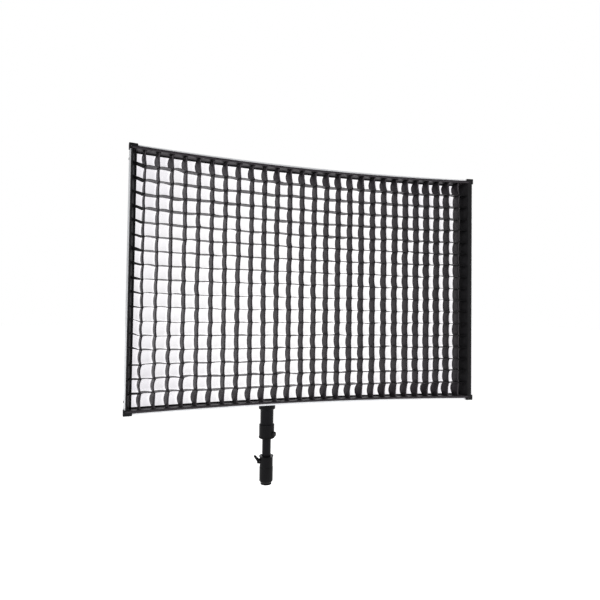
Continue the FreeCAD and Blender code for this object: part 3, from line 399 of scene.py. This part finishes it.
LOW_ROWS = 3                 # from this row the strips' back edges ride up along the left border,
MIDDLE_ROW = 6               # from this one they hang down,
HIGH_ROWS = 11               # and from this one, as below LOW_ROWS, they meet it nearly flat
LOW_TILT = 5.0
HIGH_TILT = -3.5
TACK_RINGS = 7
TACK_CORNERS = 8
TACK_PROUD = 0.6 * MM        # a tack starts this far in front of the strips
TACK_REACH = 0.96            # and runs over this share of their depth
TAB_RINGS = 6
TAB_FRONT = 4.5 * MM
TAB_DEPTH = 25.0 * MM
# Round a folded end: (share of its width, to the right; how many times its swell, into the grid).
TAB_SECTION = [(0.4, 0.0), (0.4, 1.6), (0.0, 1.9), (-0.5, 1.1), (-1.0, 0.5), (-1.0, 0.0)]

# Each crossing is a node of the net.
node_ds = [[dice.gauss(0, NODE_SHIFT) for j in range(ROWS + 2)] for k in range(COLUMNS + 2)]
node_dz = [[dice.gauss(0, NODE_LIFT) for j in range(ROWS + 2)] for k in range(COLUMNS + 2)]


def lean(k):
    """The first columns hang straighter than the others."""
    return LEAN * min(1.0, 0.5 + 0.17 * k)


def hump(f, power=0.8):
    """Rises from 0 at f = 0 to 1 halfway, and falls to 0 at f = 1."""
    return max(0.0, math.sin(math.pi * min(1.0, max(0.0, f)))) ** power


class Cell:
    """How one strip bends between two crossings: it bows sideways more at its back than its front."""

    def __init__(self, front, back, belly, peak):
        self.front = front
        self.back = back
        self.belly = belly
        self.peak = peak

    def offset(self, f, d):
        bow = (self.front * (1 - d) + self.back * d) * hump(f ** self.peak)
        return bow + self.belly * hump(f, 1.0) * math.sin(math.pi * d)


def upright_cell(k, j):
    """Cell j of column k. Cells at the border bow the most, and the low ones on the left are slack."""
    slack_corner = max(0.0, 1 - k / 5) * max(0.0, 1 - j / 7)
    front = dice.uniform(-0.2, 1.0) * MM + 3.6 * MM * slack_corner
    back = front + dice.uniform(0.6, 2.2) * MM
    belly = dice.uniform(0.2, 1.2) * MM
    if j in (0, ROWS):
        front = dice.uniform(-0.6, 1.2) * MM
        back = dice.uniform(5.0, 8.0) * MM
        belly = dice.uniform(0.5, 1.5) * MM
    return Cell(front, back, belly, dice.uniform(0.8, 1.25))


def upright_strip(shape, k):
    """Column k, from the bottom border to the top one. Its front edge runs back at both ends."""
    loop = both_sides(ribbon_outline(*UPRIGHT_EDGES))
    low = GRID_BOTTOM + BAND_THICKNESS
    high = GRID_TOP - BAND_THICKNESS
    stops = [low] + [row_z(j) + node_dz[k + 1][j + 1] for j in range(ROWS)] + [high]
    shifts = [0.0] + [node_ds[k + 1][j + 1] for j in range(ROWS)] + [0.0]
    low_power, high_power = [dice.uniform(1.2, 4.0) for _ in range(2)]
    rings = []
    for j in range(ROWS + 1):
        cell = upright_cell(k, j)
        recess = CELL_RECESS * dice.uniform(0.6, 1.3)
        steps = CELL_STEPS + (1 if j == ROWS else 0)
        for i in range(steps):
            f = i / CELL_STEPS
            z = stops[j] + (stops[j + 1] - stops[j]) * f
            shift = shifts[j] + (shifts[j + 1] - shifts[j]) * f
            front_t = STRIP_FRONT + recess * hump(f, 0.7)
            if j == 0:
                front_t = STRIP_FRONT + END_RECESS * (1 - f ** low_power)
            if j == ROWS:
                front_t = STRIP_FRONT + END_RECESS * (1 - (1 - f) ** high_power)
            back_t = STRIP_BACK - BACK_NOTCH + BACK_BULGE * hump(f)
            ring = []
            for d, h in loop:
                t = front_t + (back_t - front_t) * d
                depth_share = (t - STRIP_FRONT) / (STRIP_BACK - STRIP_FRONT)
                side = lean(k) * depth_share + cell.offset(f, depth_share)
                ring.append(on_panel(column_s(k) + shift - side + h, t, z))
            rings.append(ring)
    shape.loft(rings)


def strip_side(s, t):
    """Keeps s between the border's upright sides, which lean in towards the back."""
    left = -BAND_HALF_ARC + BAND_THICKNESS + LEFT_SLOPE * t / BAND_DEPTH
    right = BAND_HALF_ARC - RIGHT_HEM - RIGHT_SLOPE * t / BAND_DEPTH
    return min(max(s, left), right)


def level_cell(k, j):
    """Cell k of row j. Towards the left side the strip rides up just after a crossing."""
    slack = max(0.0, 1 - k / 6)
    if k == 0:
        front = dice.uniform(2.0, 3.5) * MM
        tilt = dice.uniform(0.8, 1.2) * MM
        if LOW_ROWS <= j < MIDDLE_ROW:
            tilt *= LOW_TILT
        elif MIDDLE_ROW <= j < HIGH_ROWS:
            tilt *= HIGH_TILT
        return Cell(front, front + tilt, 0.0, 0.38)
    front = dice.gauss(0, 0.8) * MM + slack * dice.uniform(1.5, 4.0) * MM
    back = front - slack * dice.uniform(-0.5, 1.0) * MM + dice.gauss(0, 0.9) * MM
    return Cell(front, back, dice.gauss(0, 0.5) * MM, dice.uniform(0.4, 0.6) + 0.6 * (1 - slack))


def level_strip(shape, ends, j):
    """Row j, from the left border to the right one. Its end cells, sewn to the border, go into ends, to be
    made in the darker tack cloth as painted shade.
    """
    loop = both_sides(ribbon_outline(*LEVEL_EDGES))
    stops = [-BAND_HALF_ARC] + [column_s(k) + node_ds[k + 1][j + 1] for k in range(COLUMNS)]
    stops.append(BAND_HALF_ARC - RIGHT_LAP)
    heights = [row_z(j) + node_dz[k][j + 1] for k in range(COLUMNS + 2)]
    heights[0] += LEFT_RISE if j >= LOW_ROWS else -LEFT_DROP
    rings = []
    for k in range(COLUMNS + 1):
        cell = level_cell(k, j)
        recess = CELL_RECESS * dice.uniform(0.6, 1.3)
        twist = dice.gauss(0, 0.5) * MM
        steps = CELL_STEPS + (1 if k == COLUMNS else 0)
        for i in range(steps):
            f = i / CELL_STEPS
            s = stops[k] + (stops[k + 1] - stops[k]) * f
            z = heights[k] + (heights[k + 1] - heights[k]) * f
            front_t = STRIP_FRONT + recess * hump(f, 0.7)
            if k == 0:
                front_t = STRIP_FRONT + LEVEL_RECESS * (1 - f * f)
            if k == COLUMNS:
                front_t = STRIP_FRONT + LEVEL_RECESS * (1 - (1 - f) ** 2)
            ring = []
            for d, h in loop:
                t = front_t + (STRIP_BACK - front_t) * d
                up = cell.offset(f, d) + twist * (d - 0.5) * hump(f, 1.0)
                ring.append(on_panel(strip_side(s - LEAN * d, t), t, z + up + h))
            rings.append(ring)
    first_column = CELL_STEPS
    last_column = CELL_STEPS * COLUMNS
    # The end cells go into the darker tack piece: painted shade where the strips meet the borders.
    ends.loft(rings[:first_column + 1])
    shape.loft(rings[first_column:last_column + 1])
    ends.loft(rings[last_column:])


def crossing_tack(shape, k, j):
    """The pleat where a level strip is sewn to an upright one, on both faces of the upright. Its dark
    cloth is partly the black tack thread and partly painted shade at the crossing.
    """
    z = row_z(j) + node_dz[k + 1][j + 1]
    s = column_s(k) + node_ds[k + 1][j + 1]
    reach = dice.uniform(2.0, 2.7) * MM
    proud = dice.uniform(1.0, 1.6) * MM
    rings = []
    for step in range(TACK_RINGS):
        d = step / (TACK_RINGS - 1)
        t = STRIP_FRONT - TACK_PROUD + (STRIP_BACK - STRIP_FRONT) * TACK_REACH * d
        swell = 0.4
        if d < 0.9:
            swell = 0.35 + 0.65 * math.sin(math.pi * min(1.0, d * 1.15 + 0.12)) ** 0.5
        side = lean(k) * d
        half = (0.5 * MM + proud) * swell
        tall = reach * (0.6 + 0.4 * swell)
        ring = []
        for a in range(TACK_CORNERS):
            turn = 2 * math.pi * a / TACK_CORNERS
            ring.append(on_panel(s - side + half * math.cos(turn), t, z + tall * math.sin(turn)))
        rings.append(ring)
    shape.loft(rings)


def border_tab(shape, k, top):
    """The cut end of an upright strip, folded to its left under the border and sewn there. It is made in
    the darker tack cloth as painted shade in the corner under the border.
    """
    s = column_s(k)
    z_wall = GRID_TOP - BAND_THICKNESS if top else GRID_BOTTOM + BAND_THICKNESS
    inward = -1 if top else 1
    wide = dice.uniform(8.5, 11.5) * MM
    narrow = dice.uniform(1.5, 3.0) * MM
    rings = []
    for step in range(TAB_RINGS):
        share = step / (TAB_RINGS - 1)
        t = TAB_FRONT + TAB_DEPTH * share
        width = wide + (narrow - wide) * share ** 0.8
        side = lean(k) * share
        swell = (1.2 + 0.7 * math.sin(2.6 * share + k)) * MM
        ring = []
        for across, high in TAB_SECTION:
            z = z_wall + inward * (swell * high - 0.2 * MM)
            ring.append(on_panel(s - side + width * across, t, z))
        rings.append(ring)
    shape.loft(rings)


def make_grid(materials):
    thirds = ("left", "middle", "right")
    per_piece = COLUMNS // len(thirds)
    for i, name in enumerate(thirds):
        shape = Shape()
        for k in range(i * per_piece, (i + 1) * per_piece):
            upright_strip(shape, k)
        piece = shape.make("grid_upright_strips_" + name, materials["grid"])
        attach(piece, BODY)
        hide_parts("grid_verticals_" + name)
    shape = Shape()
    tacks = Shape()
    for j in range(ROWS):
        level_strip(shape, tacks, j)
    piece = shape.make("grid_level_strips", materials["grid"])
    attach(piece, BODY)
    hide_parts("grid_horizontals")
    for k in range(COLUMNS):
        for j in range(ROWS):
            crossing_tack(tacks, k, j)
        border_tab(tacks, k, True)
        border_tab(tacks, k, False)
    # These pieces take the darker tack cloth as painted shade, over the black thread's own colour.
    piece = tacks.make("grid_tacks_and_painted_shade", materials["tack"], 60.0)
    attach(piece, BODY)


# ------------------------------------------------------------------ the grid's border
LEVEL_HEM = 4.6 * MM
LEFT_HEM = 3.2 * MM
LEFT_OVER = 1.0 * MM         # how far a hem laps over the frame's silver lip
RIGHT_OVER = 2.0 * MM
LEFT_CLOTH = 41.0 * MM
RIGHT_CLOTH = 46.0 * MM
LEVEL_BORDER_STEPS = 6       # rings of points per cell
UPRIGHT_BORDER_STEPS = 8
UPRIGHT_BORDER_INSET = 2.0 * MM    # the upright sides end behind the level ones
LEFT_FULLNESS = 0.4          # the left side is pulled tighter than the right one, which has 1.0


def level_border(shape, z_out, inward):
    """The top or bottom of the grid's border: a rolled hem, then cloth that sags between the strips."""
    hem = LEVEL_HEM
    steps = (COLUMNS + 1) * LEVEL_BORDER_STEPS
    rings = []
    for i in range(steps + 1):
        s = -BAND_HALF_ARC + 2 * BAND_HALF_ARC * i / steps
        cell = (s - column_s(0)) / (column_s(1) - column_s(0))
        sag = 0.9 * MM * abs(math.sin(math.pi * cell))
        wobble = 0.25 * MM * math.sin(7.3 * cell) + 0.2 * MM * math.sin(3.1 * cell + 1)
        over = 0.6 * MM + 1.6 * MM * (s / BAND_HALF_ARC) ** 2
        section = [(1.8 * MM, -over), (0.6 * MM, -over - 0.2 * MM), (-0.1 * MM, 0.8 * MM),
                   (0.0, hem - 1.4 * MM), (0.5 * MM, hem - 0.4 * MM),
                   (1.4 * MM, hem + wobble), (3.4 * MM, hem - 0.2 * MM + wobble),
                   (4.4 * MM, BAND_THICKNESS + 0.2 * MM + wobble), (10 * MM, BAND_THICKNESS + sag * 0.5),
                   (20 * MM, BAND_THICKNESS + sag), (29 * MM, BAND_THICKNESS + sag * 0.9),
                   (30.3 * MM, BAND_THICKNESS + 0.5 * MM + sag), (31.6 * MM, BAND_THICKNESS + sag * 0.5),
                   (31.7 * MM, 0.6 * MM), (30.0 * MM, 0.2 * MM), (12.0 * MM, 0.2 * MM),
                   (2.3 * MM, 0.15 * MM)]
        rings.append([on_panel(s, t, z_out + inward * w) for t, w in section])
    shape.loft(rings)


def upright_border(shape, side, slope, hem, over):
    """An upright side: its hem laps over the lip, and its wall leans in and bellies between the rows.

    side is -1 on the left and 1 on the right; over is how far the hem laps over the lip.
    """
    rings = []
    steps = (ROWS + 1) * UPRIGHT_BORDER_STEPS
    low = GRID_BOTTOM + UPRIGHT_BORDER_INSET
    high = GRID_TOP - UPRIGHT_BORDER_INSET
    fullness = 1.0 if side > 0 else LEFT_FULLNESS
    bellies = [fullness * dice.uniform(1.4, 3.2) * MM for _ in range(ROWS + 1)]
    for i in range(steps + 1):
        z = low + (high - low) * i / steps
        row = (z - row_z(0)) / ROW_PITCH
        index = min(max(int(math.floor(row)) + 1, 0), ROWS)
        belly = bellies[index] * abs(math.sin(math.pi * row)) ** 0.8
        wobble = 0.3 * MM * math.sin(5.1 * row) + 0.2 * MM * math.sin(2.3 * row + 2)
        wall = BAND_THICKNESS
        section = [(1.8 * MM, -over), (0.7 * MM, -over - 0.2 * MM), (-0.2 * MM, 0.4 * MM),
                   (-0.3 * MM, hem - 1.4 * MM), (0.6 * MM, hem - 0.2 * MM),
                   (2.2 * MM, hem + wobble + slope * 0.07),
                   (4.6 * MM, hem - 0.4 * MM + wobble + slope * 0.13)]
        for share in (0.35, 0.55, 0.75, 0.9):
            inner = hem - 0.6 * MM + slope * share + belly * math.sin(math.pi * share ** 1.2)
            section.append((BAND_DEPTH * share, inner))
        section += [(BAND_DEPTH - 1.4 * MM, hem + slope * 0.97 + belly * 0.35),
                    (BAND_DEPTH - 0.2 * MM, hem - 0.8 * MM + slope),
                    (BAND_DEPTH - 0.1 * MM, hem - wall + slope),
                    (BAND_DEPTH * 0.6, hem - wall + slope * 0.55), (5.0 * MM, hem - wall + slope * 0.1),
                    (2.4 * MM, 0.6 * MM), (1.9 * MM, 0.3 * MM)]
        rings.append([on_panel(side * (BAND_HALF_ARC - w), t, z) for t, w in section])
    shape.loft(rings)


def make_border(materials):
    for name, z_out, inward in (("top", GRID_TOP, -1), ("bottom", GRID_BOTTOM, 1)):
        shape = Shape()
        level_border(shape, z_out, inward)
        piece = shape.make("grid_border_" + name, materials["grid"])
        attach(piece, BODY)
        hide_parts("grid_band_" + name)
    sides = [("left", -1, LEFT_SLOPE, LEFT_HEM, LEFT_OVER, LEFT_CLOTH),
             ("right", 1, RIGHT_SLOPE, RIGHT_HEM, RIGHT_OVER, RIGHT_CLOTH)]
    for name, side, slope, hem, over, cloth in sides:
        shape = Shape()
        upright_border(shape, side, slope, hem, over)
        piece = shape.make("grid_border_" + name, materials["band"])
        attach(piece, BODY)
        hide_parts("grid_band_" + name)


# ------------------------------------------------------------------ diffuser and tape
DIFFUSER_THICKNESS = 0.5 * MM
CLOTH_ACROSS = 96            # the cloth's squares along the bow
CLOTH_UP = 66                # and up
SETTLE_FRAMES = 14
SETTLE_LIMIT = 0.5 * MM


def make_diffuser(materials):
    """The diffusion cloth, held by its edge in the frame's channel and settled under its weight."""
    low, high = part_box("diffuser")
    half_arc = math.asin((high.x - low.x) / 2 / (BOW_RADIUS + DIFFUSER_DEPTH)) * BOW_RADIUS
    points = []
    faces = []
    for i in range(CLOTH_UP + 1):
        z = low.z + (high.z - low.z) * i / CLOTH_UP
        for k in range(CLOTH_ACROSS + 1):
            s = -half_arc + 2 * half_arc * k / CLOTH_ACROSS
            points.append(on_panel(s, DIFFUSER_DEPTH, z))
    for i in range(CLOTH_UP):
        for k in range(CLOTH_ACROSS):
            a = i * (CLOTH_ACROSS + 1) + k
            faces.append((a, a + 1, a + CLOTH_ACROSS + 2, a + CLOTH_ACROSS + 1))
    mesh = bpy.data.meshes.new("diffuser_cloth")
    mesh.from_pydata(points, [], faces)
    cloth = bpy.data.objects.new("diffuser_cloth", mesh)
    bpy.context.scene.collection.objects.link(cloth)
    mesh.materials.append(materials["diffuser"])
    settle(cloth)
    solid = cloth.modifiers.new("thickness", "SOLIDIFY")
    solid.thickness = DIFFUSER_THICKNESS
    solid.offset = 0.0
    apply_modifiers(cloth)
    cloth.data.shade_smooth()
    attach(cloth, BODY)
    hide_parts("diffuser")


def settle(cloth):
    """Runs the cloth for a few frames with its edge pinned, and keeps each point near its place."""
    group = cloth.vertex_groups.new(name="edge")
    edge = [i * (CLOTH_ACROSS + 1) + k for i in range(CLOTH_UP + 1) for k in range(CLOTH_ACROSS + 1)
            if i in (0, CLOTH_UP) or k in (0, CLOTH_ACROSS)]
    group.add(edge, 1.0, "REPLACE")
    cloth_modifier = cloth.modifiers.new("cloth", "CLOTH")
    settings = cloth_modifier.settings
    settings.vertex_group_mass = "edge"
    settings.mass = 0.15
    settings.quality = 4
    settings.tension_stiffness = 40
    settings.compression_stiffness = 40
    settings.bending_stiffness = 2.0
    settings.shrink_min = 0.0
    scene = bpy.context.scene
    scene.frame_start = 1
    scene.frame_end = SETTLE_FRAMES
    for number in range(1, SETTLE_FRAMES + 1):
        scene.frame_set(number)
    rest = [v.co.copy() for v in cloth.data.vertices]
    apply_modifiers(cloth)
    for vertex, start in zip(cloth.data.vertices, rest):
        moved = vertex.co - start
        if moved.length > SETTLE_LIMIT:
            vertex.co = start + moved.normalized() * SETTLE_LIMIT
    scene.frame_set(1)


def apply_modifiers(piece):
    graph = bpy.context.evaluated_depsgraph_get()
    graph.update()
    made = bpy.data.meshes.new_from_object(piece.evaluated_get(graph))
    piece.modifiers.clear()
    piece.data = made


TAPE_FRONT = 32.05 * MM
TAPE_BACK = 33.5 * MM
TAPE_ROUNDING = 0.5 * MM
TAPE_LEVEL_WIDTH = 6.7 * MM
TAPE_LEFT_WIDTH = 14.0 * MM
TAPE_RIGHT_WIDTH = 27.0 * MM
TAPE_STEPS_ACROSS = 60
TAPE_STEPS_UP = 30


def tape_section(width):
    """(depth, distance in from the grid's outside) round the tape, with its edges rounded."""
    front, back, edge = TAPE_FRONT, TAPE_BACK, TAPE_ROUNDING
    return [(front + edge, 0.0), (front, edge), (front, width - edge), (front + edge, width),
            (back - edge, width), (back, width - edge), (back, edge), (back - edge, 0.0)]


def make_tape(materials):
    """The hook-and-loop tape round the diffuser's edge."""
    shape = Shape()
    for z_out, inward in ((GRID_TOP, -1), (GRID_BOTTOM, 1)):
        section = tape_section(TAPE_LEVEL_WIDTH)
        rings = []
        for i in range(TAPE_STEPS_ACROSS + 1):
            s = -BAND_HALF_ARC + 2 * BAND_HALF_ARC * i / TAPE_STEPS_ACROSS
            rings.append([on_panel(s, t, z_out + inward * w) for t, w in section])
        shape.loft(rings)
    low = GRID_BOTTOM + TAPE_LEVEL_WIDTH
    high = GRID_TOP - TAPE_LEVEL_WIDTH
    for side, width in ((-1, TAPE_LEFT_WIDTH), (1, TAPE_RIGHT_WIDTH)):
        section = tape_section(width)
        rings = []
        for i in range(TAPE_STEPS_UP + 1):
            z = low + (high - low) * i / TAPE_STEPS_UP
            rings.append([on_panel(side * (BAND_HALF_ARC - w), t, z) for t, w in section])
        shape.loft(rings)
    piece = shape.make("hook_and_loop_tape", materials["tape"])
    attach(piece, BODY)
    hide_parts("border_tape")


# ------------------------------------------------------------------ finishes on the CAD nodes
FINISH = {
    "casting": ["receiver_body", "receiver_ring", "lever_handle", "lock_collar", "foot_flange"],
    "tube": ["inner_tube", "outer_tube"],
    "steel": ["tube_pin", "tube_stop_ring", "lever_screw", "bush_circlip", "lock_screw", "foot_screws",
              "corner_brackets", "dimmer_shaft"],
    "brass": ["lever_pad", "brake_pad", "inlet_pins"],
    "bush": ["guide_bush"],
    "plastic": ["lock_knob", "power_inlet", "switch_bezel", "dimmer_knob"],
    "cap": ["corner_cap_top_left", "corner_cap_top_right", "corner_cap_bottom_left",
            "corner_cap_bottom_right"],
    "screw": ["corner_screws", "back_shell_screws", "lid_screws"],
    "rail": ["top_rail", "bottom_rail"],
    "upright": ["left_upright", "right_upright"],
    "sheet": ["led_backplane", "rear_ribs"],
    "shell": ["back_shell", "driver_housing", "driver_lid"],
    "board": ["led_boards"],
    "led": ["led_emitters"],
    "green": ["driver_board"],
    "component": ["driver_components", "dimmer_encoder"],
    "rubber": ["led_lead", "lead_grommet"],
    "red": ["switch_rocker"],
}


def paint_nodes(materials):
    for finish, names in FINISH.items():
        for name in names:
            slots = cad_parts[name].data.materials
            slots.clear()
            slots.append(materials[finish])


# ------------------------------------------------------------------ camera, floor and light
CAMERA_FROM_PANEL = Vector((-0.3542, -1.1499, -0.0728))
CAMERA_YAW = -0.266
CAMERA_PITCH = 0.025
CAMERA_ROLL = 0.013
SENSOR_WIDTH = 36.0          # in the camera's own millimetres, as the lens is
LENS = 25.8
FLOOR_Z = -0.75
FLOOR_HALF_WIDTH = 30.0
FLOOR_GLOW = 0.75
WORLD_SEEN = 1.0             # the world's strength where the camera sees it,
WORLD_FILL = 0.32            # and as light on the object
LIGHTS_AIM = (0.05, 0.0, 0.4)


def make_camera():
    """Left of the panel's middle and a little below it, turned right towards it."""
    place = Vector((PANEL_X, FRONT_Y, GRID_MIDDLE_Z)) + CAMERA_FROM_PANEL
    level = Vector((-math.sin(CAMERA_YAW), math.cos(CAMERA_YAW), 0))
    forward = level * math.cos(CAMERA_PITCH) + Vector((0, 0, math.sin(CAMERA_PITCH)))
    right = Vector((math.cos(CAMERA_YAW), math.sin(CAMERA_YAW), 0))
    up = right.cross(forward)
    right_rolled = right * math.cos(CAMERA_ROLL) + up * math.sin(CAMERA_ROLL)
    up_rolled = up * math.cos(CAMERA_ROLL) - right * math.sin(CAMERA_ROLL)
    data = bpy.data.cameras.new("camera")
    data.sensor_width = SENSOR_WIDTH
    data.lens = LENS
    camera = bpy.data.objects.new("camera", data)
    turn = Matrix((right_rolled, up_rolled, -forward)).transposed()
    camera.matrix_world = Matrix.Translation(place) @ turn.to_4x4()
    bpy.context.scene.collection.objects.link(camera)
    bpy.context.scene.camera = camera


def make_floor():
    mesh = bpy.data.meshes.new("floor")
    half = FLOOR_HALF_WIDTH
    corners = [(x, y, FLOOR_Z) for x, y in ((-half, -half), (half, -half), (half, half), (-half, half))]
    mesh.from_pydata(corners, [], [(0, 1, 2, 3)])
    floor = bpy.data.objects.new("floor", mesh)
    bpy.context.scene.collection.objects.link(floor)
    paint = Paint("pale_floor")
    drift = paint.noise(0.6, 2.0)
    paint.colour(paint.ramp(drift, [(0.3, (0.93, 0.93, 0.93)), (0.7, (0.95, 0.95, 0.95))]))
    paint.roughness(drift, 0.8, 0.9)
    paint.set(Emission_Color=(1.0, 1.0, 1.0, 1.0), Emission_Strength=FLOOR_GLOW)
    mesh.materials.append(paint.material)


def area_light(name, place, width, height, power):
    data = bpy.data.lights.new(name, "AREA")
    data.shape = "RECTANGLE"
    data.size = width
    data.size_y = height
    data.energy = power
    light = bpy.data.objects.new(name, data)
    light.location = place
    light.rotation_euler = (Vector(LIGHTS_AIM) - Vector(place)).to_track_quat("-Z", "Y").to_euler()
    light.visible_camera = False
    bpy.context.scene.collection.objects.link(light)


def make_light():
    """A plain white world, seen brighter than it lights, and three soft lamps."""
    world = bpy.data.worlds.new("studio")
    world.use_nodes = True
    tree = world.node_tree
    seen = tree.nodes["Background"]
    seen.inputs["Color"].default_value = (1.0, 1.0, 1.0, 1.0)
    seen.inputs["Strength"].default_value = WORLD_SEEN
    fill = tree.nodes.new("ShaderNodeBackground")
    fill.inputs["Color"].default_value = (1.0, 1.0, 1.0, 1.0)
    fill.inputs["Strength"].default_value = WORLD_FILL
    path = tree.nodes.new("ShaderNodeLightPath")
    mix = tree.nodes.new("ShaderNodeMixShader")
    tree.links.new(path.outputs["Is Camera Ray"], mix.inputs["Fac"])
    tree.links.new(fill.outputs["Background"], mix.inputs[1])
    tree.links.new(seen.outputs["Background"], mix.inputs[2])
    tree.links.new(mix.outputs["Shader"], tree.nodes["World Output"].inputs["Surface"])
    bpy.context.scene.world = world
    area_light("key", (-2.2, -2.0, 2.2), width=1.6, height=1.6, power=60.0)
    area_light("fill", (2.4, -2.2, 0.9), width=1.4, height=2.0, power=25.0)
    area_light("back", (0.6, 2.6, 1.8), width=2.0, height=1.6, power=40.0)
    view = bpy.context.scene.view_settings
    view.view_transform = "Standard"
    view.look = "None"


materials = make_materials()
make_camera()
make_floor()
make_light()
paint_nodes(materials)
make_grid(materials)
make_border(materials)
make_diffuser(materials)
make_tape(materials)
